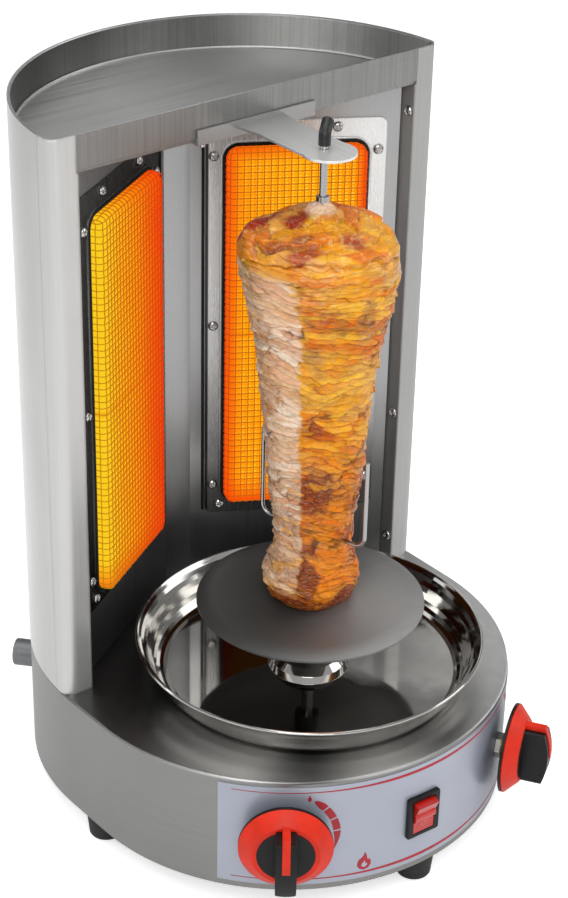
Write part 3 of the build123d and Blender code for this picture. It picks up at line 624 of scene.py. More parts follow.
def dome_point(t_along, t_up, lift):
    """(along, up, back) at a lift off the dome, or None beyond its corners."""
    s, back_s = section(t_along, BURNER_WIDTH)
    z, back_z = section(t_up, BURNER_HEIGHT)
    back = back_s + back_z
    if back > DOME_DEPTH + 0.0002:
        return None
    # pull the point inside the rounded corner
    near_s = min(max(s, WINDOW_CORNER), BURNER_WIDTH - WINDOW_CORNER)
    near_z = min(max(z, WINDOW_CORNER), BURNER_HEIGHT - WINDOW_CORNER)
    ds, dz = s - near_s, z - near_z
    distance = math.hypot(ds, dz)
    if distance > WINDOW_CORNER:
        s = near_s + ds * WINDOW_CORNER / distance
        z = near_z + dz * WINDOW_CORNER / distance
    # surface normal, tipping outwards over the edges
    normal_s, normal_z, normal_out = 0.0, 0.0, 1.0
    if back_s > 0:
        tip = min(1, back_s / DOME_ROUND)
        normal_s = -tip if s < BURNER_WIDTH / 2 else tip
        normal_out *= 1 - tip
    if back_z > 0:
        tip = min(1, back_z / DOME_ROUND)
        normal_z = -tip if z < BURNER_HEIGHT / 2 else tip
        normal_out *= 1 - tip
    length = math.sqrt(normal_s ** 2 + normal_z ** 2 + normal_out ** 2) or 1.0
    return (s + normal_s / length * lift, z + normal_z / length * lift,
            back - normal_out / length * lift)


def gauze(side):
    """Upright wires, then level ones, weaving over and under each other."""
    lengths = (section_length(BURNER_WIDTH), section_length(BURNER_HEIGHT))
    counts = [round(length / PITCH) for length in lengths]
    pitches = [length / count for length, count in zip(lengths, counts)]
    tubes = []
    for row, sign in ((0, 1), (1, -1)):
        other = 1 - row
        for i in range(counts[row] + 1):
            fixed = min(max(i * pitches[row], WIRE_INSET), lengths[row] - WIRE_INSET)
            pieces = [[]]
            for j in range(counts[other] * 2 + 1):
                moving = min(j * pitches[other] / 2, lengths[other])
                lift = WIRE_LIFT + sign * WEAVE * math.cos(math.pi * (j / 2 + i))
                place = (fixed, moving) if row == 0 else (moving, fixed)
                point = dome_point(*place, lift)
                if point is None:
                    pieces.append([])
                else:
                    s, z, back = point
                    pieces[-1].append(burner_point(side, s, back, BURNER_Z0 + z))
            tubes += [tube(piece, WIRE_RADIUS, 6) for piece in pieces if len(piece) > 3]
    return joined(tubes)


for side, tag in SIDES:
    enrol(mesh_object("gauze_wires_" + tag, gauze(side), wire_glow(side)))


# ------------------------------------------------------------------ dark tubes of painted shadow, beads and slots
def window_loop(outset, back, side):
    """Closed loop round the burner's window."""
    path = []
    radius = WINDOW_CORNER + outset
    left, right = WINDOW_CORNER, BURNER_WIDTH - WINDOW_CORNER
    low, high = BURNER_Z0 + WINDOW_CORNER, BURNER_Z1 - WINDOW_CORNER
    for s, z, start in ((right, high, 0), (left, high, 90), (left, low, 180), (right, low, 270)):
        for i in range(11):
            turn = math.radians(start + 9.0 * i)
            path.append(burner_point(side, s + radius * math.cos(turn), back,
                                     z + radius * math.sin(turn)))
    return path + path[:1]


# dark material standing in for shadow in gaps and slots
gap_shadow_tube = plastic("painted_gap_shadow", (20, 19, 18), roughness=0.85, grain=1800, bump=0.5, bevel=0.0)
for side, tag in SIDES:
    # dark tube standing in for the shadowed gap round the window, then the rolled steel bead
    # outside it
    for name, mat, outset, back, radius in (("window_gap_shadow_", gap_shadow_tube, 0.0012, 0.0094, 0.0014),
                                            ("window_bead_", frame_steel, 0.0036, 0.0095, 0.0012)):
        loop = tube(window_loop(outset, back, side), radius, 10)
        enrol(mesh_object(name + tag, loop, mat))

# dark tube standing in for the shadow in the slot between each burner plate and the inner
# reflector
for side, tag in SIDES:
    line = [burner_point(side, -0.0166, 0.0098, z) for z in (0.166, 0.27, 0.37, 0.4785)]
    enrol(mesh_object("plate_slot_" + tag, tube(line, 0.0011, 8), gap_shadow_tube))

# bead where the tray's floor meets its wall: round the back, then straight across the front
SEAM_RADIUS, SEAM_Z, SEAM_START = 0.1622, 0.5096, 1.6
curve = []
for i in range(97):
    turn = math.radians(SEAM_START + (180 - 2 * SEAM_START) * i / 96)
    curve.append((SEAM_RADIUS * math.cos(turn), HOOD_Y + SEAM_RADIUS * math.sin(turn), SEAM_Z))
straight = [(x, 0.0740, SEAM_Z) for x in (-0.156, -0.05, 0.05, 0.156)]
bead = joined([tube(path, 0.0008, 8) for path in (curve, straight)])
enrol(mesh_object("tray_seam_bead", bead, post_steel))


# ------------------------------------------------------------------ cross-recessed screw heads
def screw_head(centre, normal, radius, height, spin, rings=16, segments=48):
    """Domed head with a cross recess, on an upright face."""
    normal = np.array(normal, float)
    normal /= np.linalg.norm(normal)
    across = np.cross((0, 0, 1.0), normal)
    across /= np.linalg.norm(across)
    third = np.cross(normal, across)
    centre = np.array(centre, float)
    arm_width, arm_reach = 0.16 * radius, 0.52 * radius

    def arm(u, v):
        return max(0.0, 1 - (abs(u) / arm_width) ** 4) * max(0.0, 1 - (abs(v) / arm_reach) ** 6)

    def rise(r, turn):
        x, y = r * math.cos(turn), r * math.sin(turn)
        dome = height * (1 - (r / radius) ** 2.6) ** 0.55
        return dome - max(arm(x, y), arm(y, x)) * height * 0.55

    verts = [centre + normal * rise(0, 0)]
    for i in range(1, rings + 1):
        r = radius * (i / rings) ** 0.9
        for k in range(segments):
            turn = 2 * math.pi * k / segments
            up = rise(r, turn) if i < rings else 0.0
            turn += spin
            verts.append(centre + r * (math.cos(turn) * across + math.sin(turn) * third)
                         + normal * up)
    faces = [(0, 1 + k, 1 + (k + 1) % segments) for k in range(segments)]
    for i in range(rings - 1):
        for k in range(segments):
            p, q = 1 + i * segments + k, 1 + i * segments + (k + 1) % segments
            faces.append((p, p + segments, q + segments, q))
    last = 1 + (rings - 1) * segments
    faces += [(last + (k + 1) % segments, last + k, len(verts)) for k in range(segments)]
    verts.append(centre)
    return verts, faces


# (mm along the burner, mm up)
PLATE_SCREWS = [(-9, 456.5), (-9, 323), (-9, 188), (-4, 170.5), (110, 457.5), (110, 321),
                (110, 188), (104, 170.5), (20, 475.5), (80, 475.5)]
HOOD_SCREW_X, HOOD_SCREW_Y = 0.1434, 0.0765
HOOD_SCREW_Z = (0.4870, 0.2444, 0.1349)
bright = metals["bright_hardware"]

heads = []
for side, _ in SIDES:
    facing = BURNER_FACING * (side, 1, 1)
    for k, (along, z) in enumerate(PLATE_SCREWS):
        heads.append(screw_head(burner_point(side, along / 1000, 0.0095, z / 1000), facing,
                                radius=0.0040, height=0.0024, spin=0.7 * k + side))
enrol(mesh_object("burner_screw_heads", joined(heads), bright),
      replaces="burner_screws")

heads = []
for side, _ in SIDES:
    for k, z in enumerate(HOOD_SCREW_Z):
        heads.append(screw_head((side * HOOD_SCREW_X, HOOD_SCREW_Y, z), (-side, 0, 0),
                                radius=0.0041, height=0.0024, spin=0.5 * k + 0.3))
enrol(mesh_object("hood_screw_heads", joined(heads), bright),
      replaces="hood_screws")

# ------------------------------------------------------------------ meat: noise helpers
# Outline of the stack from its top down: (radius, height) in mm.
MEAT_OUTLINE = np.array([
    (0, 478.6), (4.6, 478.2), (7.5, 475.6), (11, 472.2), (16, 469.2), (24, 466.3), (31, 463.8),
    (37, 461), (44.5, 458), (50, 455), (53.3, 449), (54.8, 442), (54.4, 430), (51.0, 409),
    (45.4, 389), (42.8, 370), (39.4, 347), (37.5, 326), (36.1, 309), (33.5, 285), (31.7, 261),
    (28.6, 244), (27.8, 222), (31, 208), (34.4, 199), (34.2, 189), (29, 180), (25, 175.0),
], float) / 1000
MEAT_FOOT, MEAT_TIP, MEAT_CORE = 0.1746, 0.4784, 0.0041     # end heights, least radius


def smooth_outline(points, count):
    """The outline resampled evenly with rounded corners, and arc length from its top."""
    steps = np.linalg.norm(np.diff(points, axis=0), axis=1)
    length = np.concatenate([[0], np.cumsum(steps)])
    run = np.linspace(0, length[-1], count)
    curve = np.stack([np.interp(run, length, points[:, i]) for i in (0, 1)], 1)
    for _ in range(14 * count // 200):
        curve[1:-1] = 0.25 * curve[:-2] + 0.5 * curve[1:-1] + 0.25 * curve[2:]
    return curve, run


def hashed(seed, i, j, k=0):
    """Repeatable random number 0-1 for each grid place."""
    n = (i * 374761393 + j * 668265263 + k * 2147483647 + seed * 974634777) & 0xFFFFFFFF
    n = ((n ^ (n >> 13)) * 1274126177) & 0xFFFFFFFF
    n = (n ^ (n >> 16)) & 0xFFFFFFFF
    n = ((n ^ (n >> 11)) * 2246822519) & 0xFFFFFFFF
    return ((n ^ (n >> 15)) & 0xFFFFFF) / float(0xFFFFFF)


def value_noise(seed, points):
    """Smooth noise, -1 to 1, at points whose last axis is x, y, z."""
    corner = np.floor(points).astype(np.int64)
    f = points - corner
    f = f * f * f * (f * (f * 6 - 15) + 10)
    x, y, z = (f[..., i] for i in range(3))
    i, j, k = (corner[..., n] for n in range(3))
    total = np.zeros(x.shape)
    for a in (0, 1):
        for b in (0, 1):
            for c in (0, 1):
                weight = (x if a else 1 - x) * (y if b else 1 - y) * (z if c else 1 - z)
                total += weight * hashed(seed, i + a, j + b, k + c)
    return total * 2 - 1


def layered_noise(seed, points, octaves):
    total, weight, weights = 0.0, 1.0, 0.0
    for octave in range(octaves):
        total = total + weight * value_noise(seed + octave * 17, points)
        weights += weight
        weight *= 0.5
        points = points * 2.03 + 11.7
    return total / weights


def ease(value, low, high):
    """0 below low, 1 above high, smooth between."""
    t = np.clip((value - low) / (high - low), 0, 1)
    return t * t * (3 - 2 * t)


def cells(across, down, around, seed, border):
    """Irregular cells, around of them round the stack.

    Gives 0 at a cell's border rising to 1 inside, two random numbers per cell, and the
    distance down from the cell's centre.
    """
    i0, j0 = np.floor(across).astype(np.int64), np.floor(down).astype(np.int64)
    first, second = np.full(across.shape, 9.0), np.full(across.shape, 9.0)
    random_a, random_b, below = (np.zeros(across.shape) for _ in range(3))
    for di in (-1, 0, 1):
        for dj in (-1, 0, 1):
            j = j0 + dj
            i = np.mod(i0 + di, around)
            dx = i0 + di + 0.1 + 0.8 * hashed(seed, i, j) - across
            dy = j + 0.2 + 0.6 * hashed(seed + 5, i, j) - down
            distance = np.sqrt(dx * dx + dy * dy)
            near = distance < first
            second = np.where(near, first, np.minimum(second, distance))
            random_a = np.where(near, hashed(seed + 9, i, j), random_a)
            random_b = np.where(near, hashed(seed + 13, i, j), random_b)
            below = np.where(near, -dy, below)
            first = np.where(near, distance, first)
    return np.clip((second - first) / border, 0, 1), random_a, random_b, below


# ------------------------------------------------------------------ meat: surface and patterns
ROWS, COLUMNS = ((900, 560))
outline, run = smooth_outline(MEAT_OUTLINE, ROWS)
tangent = np.gradient(outline, axis=0)
tangent /= np.linalg.norm(tangent, axis=1)[:, None]
meat_length = run[-1]
# on a grid of rows down the outline and columns round it
radius, height, run, theta = (np.array(grid) for grid in np.broadcast_arrays(
    outline[:, :1], outline[:, 1:], run[:, None],
    np.linspace(0, 2 * math.pi, COLUMNS, endpoint=False)[None, :]))
cos, sin = np.cos(theta), np.sin(theta)
x, y = radius * cos, radius * sin
turns = theta / (2 * math.pi)


def field(seed, level, upright, octaves=3, shift=0.0):
    """Noise over the meat, by its rates of change across and up (1/m)."""
    return layered_noise(seed, np.stack([x * level + shift, y * level - shift,
                                         height * upright + 3.3 * shift], -1), octaves)


top = ease(height, 0.405, 0.452)
low = 1 - ease(height, 0.25, 0.36)
# waviness of the layers
sway_a, sway_b, sway_c = field(3, 28, 20, 2), field(4, 85, 70), field(5, 26, 26, 2, 2.0)
# broad swells, lumps, blotches, specks, level fibres and fine grain
swell, lumps, blot = field(22, 20, 20, 2), field(21, 46, 46), field(63, 58, 80)
blot2, speck = field(65, 34, 52, shift=4.0), field(67, 260, 320, 2)
fibre = layered_noise(41, np.stack([cos * 8, sin * 8, height * 700 + 1.4 * sway_b], -1), 3)
grain = field(43, 420, 700, 2)
slant = 0.010 * np.sin(theta - math.radians(100)) * (1 - top)      # slices lean round the stack

# thin layers, thick flaps and crisp crumbs
thin, thin_a, thin_b, thin_below = cells(
    turns * 8 + 0.55 * sway_c + 0.16 * sway_b,
    (run + slant + 0.0085 * sway_a + 0.0030 * sway_b) / 0.0043,
    around=8, seed=101, border=0.42)
flap, flap_a, flap_b, flap_below = cells(
    turns * 5 + 0.6 * sway_a + 0.2 * sway_b,
    (run + 1.2 * slant + 0.013 * sway_c + 0.0045 * sway_b) / 0.0125,
    around=5, seed=211, border=0.50)
crumb, crumb_a, crumb_b, _ = cells(
    turns * 22 + 0.9 * sway_b, (run + 0.004 * sway_b) / 0.0033,
    around=22, seed=307, border=0.5)
# where thin seams, flap seams and crispness show
thin_here = ease(field(81, 70, 120, 2), -0.18, 0.30)
flap_here = ease(field(83, 48, 70, 2), -0.10, 0.35)
crisp = ease(blot2 + 0.6 * blot + 0.25 * low + 0.5 * np.exp(-((height - 0.262) / 0.012) ** 2)
             + 0.6 * (1 - ease(height, 0.182, 0.205)), 0.28, 0.62)

# ------------------------------------------------------------------ meat: relief
# each kind of cell: a groove at its border, a step per cell and a lean within it
thin_relief = (0.00085 * (np.sqrt(thin) - 0.75) * (0.4 + 0.9 * thin_here)
               + 0.0013 * (thin_a - 0.5) + 0.0013 * thin_below)
flap_relief = (0.0017 * (np.sqrt(flap) - 0.8) * (0.4 + 0.9 * flap_here)
               + 0.0030 * (flap_a - 0.5) + 0.0020 * flap_below)
crumb_relief = 0.0011 * (np.sqrt(crumb) - 0.7) + 0.0009 * (crumb_a - 0.5)
relief = (thin_relief * (1 - 0.55 * top) * (1 - 0.4 * crisp)
          + flap_relief * (0.42 + 0.58 * top)
          + crumb_relief * crisp * (0.8 - 0.5 * top)
          + 0.0012 * lumps + 0.0014 * swell
          + 0.00050 * fibre * (1 - 0.6 * top) + 0.00016 * grain)
# fades out at both ends of the outline
taper = ease(run, 0.0, 0.016) * (1 - ease(run, meat_length - 0.008, meat_length) * 0.8)
relief = np.clip(relief * taper - 0.0003, -0.0048, 0.0034)
out_r = np.maximum(radius - tangent[:, 1:] * relief, MEAT_CORE)
out_z = np.maximum(height + tangent[:, :1] * relief, MEAT_FOOT)


def meat_shape():
    """Grid of quads, closed by a fan at the foot and another at the top."""
    verts = np.stack([out_r * cos, out_r * sin, out_z], -1).reshape(-1, 3)
    foot = len(verts)
    index = np.arange(foot).reshape(ROWS, COLUMNS)
    following = np.roll(index, -1, 1)
    quads = np.stack([index[:-1], following[:-1], following[1:], index[1:]], -1)
    faces = quads.reshape(-1, 4)[:, ::-1].tolist()
    faces += [(q, p, foot) for p, q in zip(index[-1].tolist(), following[-1].tolist())]
    faces += [(p, q, foot + 1) for p, q in zip(index[0].tolist(), following[0].tolist())]
    return np.vstack([verts, [[0, 0, MEAT_FOOT]], [[0, 0, MEAT_TIP]]]), faces


# ------------------------------------------------------------------ meat: colour
golden, amber_and_highlight, orange, cream, pink_and_highlight, red, brown_and_shade, char_and_shade, pale, tan = (
    np.array(lin(*rgb)[:3]) for rgb in (
        (242, 166, 30), (250, 190, 62), (220, 106, 6), (240, 210, 178), (232, 168, 130),
        (164, 34, 10), (132, 48, 4), (58, 18, 5), (252, 238, 218), (216, 156, 92)))
tone = np.zeros(height.shape + (3,)) + golden


def blend(mask, colour):
    """Lays a colour over the meat, as strongly as the mask."""
    mask = np.clip(mask, 0, 1)[..., None]
    tone[:] = tone * (1 - mask) + colour * mask


# roasted patches
blend(ease(thin_a, 0.45, 0.75) * 0.55, orange)
blend(ease(blot2 + 0.5 * (flap_a - 0.5), -0.02, 0.28) * 0.85, orange)
blend(ease(thin_b, 0.62, 0.85) * 0.6 * (1 - low), amber_and_highlight)
blend(ease(blot - 0.3 * (flap_a - 0.5), 0.12, 0.42) * 0.65 * (1 - 0.7 * low), tan)
blend(low * 0.5, orange)
blend(low * ease(blot2 + 0.35 * blot, 0.0, 0.35) * 0.6, brown_and_shade)

# pale band over the left and back left, with a ragged edge
angle = np.degrees(theta) % 360
edge = (213 + 5 * blot + 4 * (thin_a - 0.5) + 2 * speck
        + 10 * ease(height, 0.36, 0.43) * (flap_a - 0.5))
band = (ease(angle, 108 + 16 * blot2, 136 + 16 * blot2) * (1 - ease(angle, edge - 2.5, edge + 2.5))
        * (1 - ease(height + 0.006 * blot, 0.432, 0.448)) * ease(height, 0.184, 0.198))
unbanded = 1 - band
patches = ease(field(71, 16, 22, 2), 0.06, 0.26)
blend(patches * unbanded * (1 - low * 0.8) * (1 - top) * 0.30, cream)
blend(band * (0.78 + 0.2 * thin_a), cream)
blend(band * ease(thin_b, 0.55, 0.8) * 0.6, pink_and_highlight)
blend(band * ease(thin_a, 0.62, 0.9) * 0.6, pale)
blend(band * ease(fibre, 0.05, 0.4) * 0.35, tan)

# browned ridges, with dark brown and char laid in the gaps between layers, flaps and crumbs as
# painted shade
ridge = ease(0.5 * (thin_a - 0.5) + blot + 0.5 * (flap_a - 0.5), 0.16, 0.5)
blend(ridge * (0.30 + 0.45 * low) * (1 - 0.75 * band), brown_and_shade)
# painted shade: brown in the gaps between the thin layers
gap_shade = 1 - ease(thin, 0.0, 0.36)
blend(gap_shade * thin_here * (0.42 + 0.3 * blot) * (1 - 0.7 * top) * (1 - 0.35 * band), brown_and_shade)
# painted highlight: amber on the raised middles of the thin layers, away from their edges
blend(ease(thin, 0.25, 0.75) * ease(thin_b, 0.3, 0.9) * 0.6 * (1 - 0.7 * low) * unbanded, amber_and_highlight)
# painted shade: brown and char in the gaps between the flaps
flap_gap_shade = 1 - ease(flap, 0.0, 0.28)
blend(flap_gap_shade * flap_here * (0.5 + 0.1 * top) * (1 - 0.3 * band), brown_and_shade)
blend((1 - ease(flap, 0.0, 0.12)) * flap_here * 0.7 * (1 - 0.5 * top), char_and_shade)
blend(ease(field(85, 62, 210), 0.26, 0.60) * (1 - top) * (1 - 0.55 * band) * 0.62, char_and_shade)
blend(ease(field(87, 40, 150), 0.16, 0.42) * (1 - 0.6 * low) * 0.42, tan)
blend(crisp * (0.35 + 0.5 * crumb_a) * (1 - 0.6 * band) * (1 - 0.5 * top), brown_and_shade)
# painted shade: char at the borders of the crisp crumbs
blend(crisp * (1 - ease(crumb, 0.05, 0.4)) * 0.5 * (1 - 0.6 * band), char_and_shade)
blend(crisp * ease(crumb_b, 0.7, 0.95) * 0.6 * (1 - top), golden)

# glazed top
cap = ease(height, 0.436, 0.458)
blend(cap * 0.7, golden)
blend((1 - ease(radius + 0.009 * lumps, 0.009, 0.020)) * cap * 0.5, amber_and_highlight)
blend(cap * ease(flap_a + 0.5 * lumps, 0.3, 0.7) * 0.8, orange)
blend(cap * ease(flap_b + 0.4 * blot, 0.60, 0.85) * 0.6, pink_and_highlight)

# oval spots on the top: bearing, distance out, half length, half width, amount, colour; the pink
# spot at bearing 236 is a painted highlight on the glaze
TOP_SPOTS = [
    (128, 0.041, 0.017, 0.014, 1.0, red), (150, 0.0185, 0.014, 0.011, 1.0, red),
    (221, 0.043, 0.021, 0.010, 0.85, red), (236, 0.050, 0.013, 0.0045, 0.75, pink_and_highlight),
    (272, 0.031, 0.014, 0.009, 0.8, red), (205, 0.030, 0.012, 0.007, 0.7, brown_and_shade),
    (312, 0.040, 0.014, 0.007, 0.7, amber_and_highlight), (250, 0.049, 0.016, 0.006, 0.7, amber_and_highlight),
    (182, 0.046, 0.010, 0.006, 0.6, brown_and_shade), (20, 0.034, 0.014, 0.010, 0.7, red),
    (75, 0.036, 0.012, 0.009, 0.6, pink_and_highlight)]
SPOT_TURN = math.radians(-39)
bent_x = x + 0.010 * sway_c + 0.004 * sway_b
bent_y = y + 0.010 * sway_a - 0.004 * sway_b
for degrees, distance, half_length, half_width, amount, colour in TOP_SPOTS:
    dx = bent_x - distance * math.cos(math.radians(degrees))
    dy = bent_y - distance * math.sin(math.radians(degrees))
    along = dx * math.cos(SPOT_TURN) + dy * math.sin(SPOT_TURN)
    away = -dx * math.sin(SPOT_TURN) + dy * math.cos(SPOT_TURN)
    spot = np.sqrt((along / half_length) ** 2 + (away / half_width) ** 2) + 0.35 * lumps
    blend((1 - ease(spot, 0.55, 1.05)) * amount * ease(height, 0.436, 0.448), colour)
blend(top * ease(fibre, 0.22, 0.5) * 0.22, pale)
# painted shade: brown in the flap gaps on the top
blend(cap * flap_gap_shade * flap_here * 0.45, brown_and_shade)
core = 1 - ease(radius + 0.005 * blot + 0.004 * swell, 0.0055, 0.0100)
blend(core * cap * 0.6, pale)

# browned foot
foot = 1 - ease(height, 0.183, 0.206)
blend(foot * ease(blot + 0.6 * (crumb_a - 0.5), -0.2, 0.3) * 0.85, brown_and_shade)
blend(foot * ease(thin_a, 0.75, 0.9) * 0.6, amber_and_highlight)

# fine variation, then less blue and green away from the pale band
tone *= (1 + 0.26 * fibre * (1 - 0.4 * top) + 0.10 * speck + 0.16 * (thin_a - 0.5)
         + 0.10 * thin_below)[..., None]
tone[..., 2] *= 1 - 0.55 * unbanded * (1 - core * cap)
tone[..., 1] *= 1 - 0.10 * low * unbanded
wet = np.clip(0.55 + 0.6 * blot + 0.4 * top - 0.25 * gap_shade + 0.3 * (thin_b - 0.5), 0, 1)


def meat_finish():
    """Painted tone with fibres, glossier where wet."""
    m = Mat("roast_meat")
    painted = m.node("Attribute", attribute_name="tone").outputs["Color"]
    wetness = m.node("Attribute", attribute_name="wet").outputs["Fac"]
    fibres = m.noise((320, 320, 900), detail=4.0, roughness=0.6, distortion=0.4)
    pores = m.noise(1500)
    colour = m.mix(m.remap(fibres, 0.35, 0.70, to=(0, 0.30)), painted, lin(150, 72, 22),
                   "MULTIPLY")
    colour = m.mix(m.remap(fibres, 0.50, 0.75, to=(0, 0.22)), colour, lin(255, 232, 176),
                   "SCREEN")
    m.set(Base_Color=colour, Roughness=m.remap(wetness, 0, 1, to=(0.50, 0.26)),
          Subsurface_Weight=0.05, Subsurface_Scale=0.003, Subsurface_Radius=(1.0, 0.35, 0.15),
          Specular_IOR_Level=0.14, Coat_Roughness=0.13,
          Coat_Weight=m.remap(wetness, 0.3, 1, to=(0.0, 0.62)))
    m.bump(m.add(m.mul(fibres, 0.8), m.mul(pores, 0.25)), strength=0.55, distance=0.0007)
    return m


meat = mesh_object("meat_slices", meat_shape(), meat_finish())
# the last two points are the middles of the foot and the top
rgb = np.vstack([np.clip(tone, 0, 1).reshape(-1, 3), brown_and_shade, pale])
rgba = np.hstack([rgb, np.ones((len(rgb), 1))]).astype(np.float32)
meat.data.color_attributes.new("tone", "FLOAT_COLOR", "POINT").data.foreach_set(
    "color", rgba.ravel())
meat.data.attributes.new("wet", "FLOAT", "POINT").data.foreach_set(
    "value", np.append(wet.ravel(), [0, 0]).astype(np.float32))
enrol(meat, carrier="skewer", replaces="meat_stack")


# ------------------------------------------------------------------ printed marks on the film
def film_point(degrees, z, lift, right=0.0, up=0.0):
    """Place on the film by the angle rightwards from its front, and mm right and up of that."""
    turn = math.radians(degrees) + right / 1000 / FILM_RADIUS
    reach = FILM_RADIUS + lift + 0.0
    return np.array([reach * math.sin(turn), FILM_Y - reach * math.cos(turn), z + up / 1000])


def ink_line(z, start=-52, end=46, steps=120):
    """Level line, thickest near the front."""
    verts, faces = [], []
    for i in range(steps + 1):
        degrees = start + (end - start) * i / steps
        half = 0.00022 + 0.00095 * math.exp(-((degrees + 2) / 22.0) ** 2)
        for lift, edge_z in ((0.0, z - half), (INK, z - half), (INK, z + half), (0.0, z + half)):
            verts.append(film_point(degrees, edge_z, lift))
    for i in range(0, 4 * steps, 4):
        for k in range(4):
            k2 = (k + 1) % 4
            faces.append((i + k, i + 4 + k, i + 4 + k2, i + k2))
    faces.append((0, 1, 2, 3))
    faces.append(tuple(4 * steps + k for k in (3, 2, 1, 0)))
    return verts, faces


def ink_patch(outline, degrees, z, lift=0.0, thickness=INK):
    """Raised shape from outline points (mm right, mm up)."""
    verts = [film_point(degrees, z, level, *point)
             for level in (lift, lift + thickness) for point in outline]
    n = len(outline)
    faces = [tuple(range(n, 2 * n)), tuple(reversed(range(n)))]
    for i in range(n):
        j = (i + 1) % n
        faces.append((i, j, n + j, n + i))
    return verts, faces


def ink_band(outer, inner, degrees, z):
    """Band between two matching rows of points (mm), cut into quads to follow the film."""
    verts = [film_point(degrees, z, level, *point)
             for level in (0.0, INK) for pair in zip(outer, inner) for point in pair]
    n = len(outer)
    m = 2 * n
    faces = []
    for i in range(n - 1):
        a, b, c, d = 2 * i, 2 * i + 1, 2 * i + 3, 2 * i + 2
        faces += [(m + a, m + b, m + c, m + d), (a, d, c, b),
                  (a, m + a, m + d, d), (b, c, m + c, m + b)]
    faces += [(0, 1, m + 1, m), (m - 2, 2 * m - 2, 2 * m - 1, m - 1)]
    return verts, faces


def scaled(outline, width, height, right=0.0, up=0.0):
    return [(x * width + right, y * height + up) for x, y in outline]


# Outlines in half widths and half heights: (right, up).
FLAME = [(0.02, 1.0), (-0.02, 0.66), (-0.30, 0.34), (-0.52, 0.22), (-0.66, -0.10),
         (-0.70, -0.45), (-0.48, -0.80), (0.0, -1.0), (0.46, -0.84), (0.70, -0.50),
         (0.70, -0.12), (0.52, 0.20), (0.42, 0.02), (0.30, 0.30), (0.24, 0.66)]
CURL = [(0.06, 0.16), (-0.06, -0.06), (-0.26, -0.30), (-0.30, -0.56), (-0.06, -0.78),
        (0.22, -0.72), (0.36, -0.48), (0.30, -0.20), (0.20, -0.36), (0.12, -0.12)]
# Dial, in mm and degrees clockwise from its top.
DIAL_BANDS = [(33, 49), (51, 66), (68, 83), (85, 110)]
DIAL_RADIUS, DIAL_HALF_WIDTH = 35.9, 2.7
DIAL_FLAME_RADIUS, DIAL_FLAME_ANGLE = 36.8, math.radians(25.5)
DIAL_Z = 0.067
FLAME_ANGLE = -19.17            # of the larger flame on the film, degrees


def dial(degrees, z):
    """Four arcs, the first and last tapering, and a small flame before them."""
    parts = []
    for k, (start, end) in enumerate(DIAL_BANDS):
        outer, inner = [], []
        for i in range(17):
            t = i / 16
            turn = math.radians(start + (end - start) * t)
            half = DIAL_HALF_WIDTH
            if k == 0:
                half *= 0.15 + 0.85 * math.sqrt(min(1, 1.6 * t))
            if k == 3:
                half *= 1 - 0.96 * t ** 1.1
            for row, radius in ((outer, DIAL_RADIUS + half), (inner, DIAL_RADIUS - half)):
                row.append((radius * math.sin(turn), radius * math.cos(turn)))
        parts.append(ink_band(outer, inner, degrees, z))
    flame = scaled(FLAME, 1.9, 3.0, DIAL_FLAME_RADIUS * math.sin(DIAL_FLAME_ANGLE),
                   DIAL_FLAME_RADIUS * math.cos(DIAL_FLAME_ANGLE))
    return parts + [ink_patch(flame, degrees, z)]


# the curl lies on the large flame
curl = ink_patch(scaled(CURL, 6.6, 6.4), FLAME_ANGLE, 0.0390, lift=0.00015, thickness=0.0001)
enrol(mesh_object("flame_curl", curl, film, smooth=False))


def rocker_ring():
    """Small ring on the lower half of the rocker, turned with it about the film's centre."""
    turn = math.radians(-3.4)
    from_centre = -0.14178 - FILM_Y
    path = []
    for i in range(25):
        w = 2 * math.pi * i / 24
        x = 0.0017 * math.cos(w)
        path.append((x * math.cos(turn) - from_centre * math.sin(turn),
                     FILM_Y + x * math.sin(turn) + from_centre * math.cos(turn),
                     0.0588 + 0.0021 * math.sin(w)))
    return tube(path, 0.00028, 6)


mark_pale = plastic("mark_pale", (196, 120, 116), roughness=0.4, grain=900, bump=0.03, bevel=0.0)
enrol(mesh_object("rocker_ring_mark", rocker_ring(), mark_pale), carrier="rocker")

marks = [ink_line(0.1048), ink_line(0.0296)]
for degrees in (-38.75, 31.75):
    marks += dial(degrees, DIAL_Z)
marks.append(ink_patch(scaled(FLAME, 7.4, 7.9), FLAME_ANGLE, 0.0394))
print_red = plastic("print_red", (168, 22, 40), roughness=0.45, grain=900, bump=0.03, bevel=0.0)
enrol(mesh_object("printed_marks", joined(marks), print_red, smooth=False))


# ------------------------------------------------------------------ floor
def floor_finish():
    m = Mat("studio_floor")
    m.set(Base_Color=m.mix(m.remap(m.noise(3), 0.3, 0.7), grey(0.90), grey(0.92)),
          Roughness=0.9, Emission_Color=grey(1), Emission_Strength=m.camera_ray(0.10, 0.55))
    return m


bpy.ops.mesh.primitive_plane_add(size=12, location=(0, AXIS_Y, -0.0005))
floor = bpy.context.object
floor.name = "studio_floor"
floor.data.materials.append(floor_finish().material)

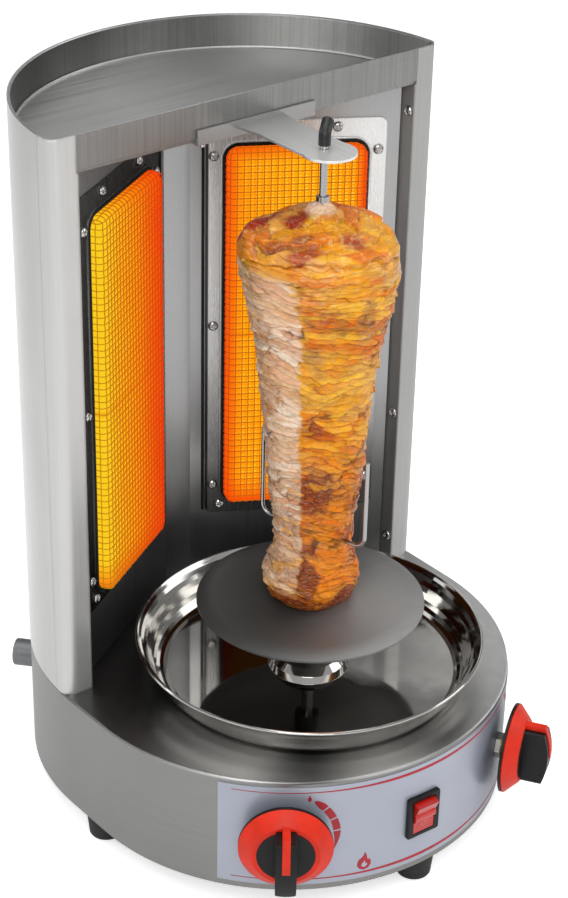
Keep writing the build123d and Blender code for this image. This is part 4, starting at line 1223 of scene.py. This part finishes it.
# ------------------------------------------------------------------ lights
# name, place, height aimed at on the axis, side of the square, watts
LIGHTS = [
    ("key", (-1.3, -1.5, 1.9), 0.25, 1.4, 25),
    ("fill", (1.7, -1.0, 1.2), 0.25, 1.2, 10),
    ("top", (0.0, 0.2, 2.3), 0.3, 1.8, 19),
    ("rim", (-1.2, 1.4, 1.2), 0.3, 0.8, 6),
]
for name, place, aim, size, watts in LIGHTS:
    light = bpy.data.lights.new(name, "AREA")
    light.energy = watts
    light.shape = "RECTANGLE"
    light.size = light.size_y = size
    lamp = bpy.data.objects.new(name, light)
    lamp.location = Vector(place) + Vector((0, AXIS_Y, 0))
    lamp.rotation_euler = (Vector((0, 0, aim)) - Vector(place)).to_track_quat("-Z", "Y").to_euler()
    scene.collection.objects.link(lamp)


# ------------------------------------------------------------------ world
def studio_world():
    """Even backdrop for the camera; for light and reflections, brightest on its side."""
    world = bpy.data.worlds.new("studio")
    scene.world = world
    world.use_nodes = True
    w = Nodes(world.node_tree)
    towards = w.node("VectorMath", {0: w.node("TexCoord").outputs["Generated"],
                                    1: (-0.45, -0.85, 0.30)}, operation="DOT_PRODUCT")
    surroundings = w.ramp(w.remap(towards.outputs["Value"], -1, 1), [
        (0.0, (0.34, 0.34, 0.345, 1)), (0.45, (0.36, 0.36, 0.365, 1)),
        (0.62, (0.55, 0.55, 0.56, 1)), (1.0, (0.75, 0.75, 0.76, 1))])
    lit = w.node("Background", {"Color": surroundings, "Strength": 0.8})
    seen = w.node("Background", {"Color": grey(0.93), "Strength": 1.0})
    mixed = w.node("MixShader", {0: w.node("LightPath").outputs["Is Camera Ray"],
                                 1: lit.outputs[0], 2: seen.outputs[0]})
    w.node("OutputWorld", {0: mixed.outputs[0]})


studio_world()

# ------------------------------------------------------------------ camera
CAMERA_PLACE = Vector((-0.87110673, -1.01450542 + AXIS_Y, 1.02668752))
# the camera's own right, up and backward directions
CAMERA_AXES = (Vector((0.77461, -0.63206, 0.02183)), Vector((0.29754, 0.39466, 0.86932)),
               Vector((-0.55808, -0.66689, 0.49377)))
lens = bpy.data.cameras.new("camera")
camera = bpy.data.objects.new("camera", lens)
scene.collection.objects.link(camera)
scene.camera = camera
lens.sensor_fit = "AUTO"
lens.sensor_width = 36.0
lens.lens = 87.8339626
lens.shift_x, lens.shift_y = -0.006445657, 0.034934298
lens.clip_start, lens.clip_end = 0.01, 50
camera.matrix_world = (Matrix.Translation(CAMERA_PLACE)
                       @ Matrix(CAMERA_AXES).transposed().to_4x4())

# ------------------------------------------------------------------ render settings
scene.view_settings.view_transform = "Standard"
scene.view_settings.look = "None"
scene.view_settings.exposure = 0.0
scene.cycles.use_denoising = True
scene.render.film_transparent = False

bpy.context.view_layer.update()
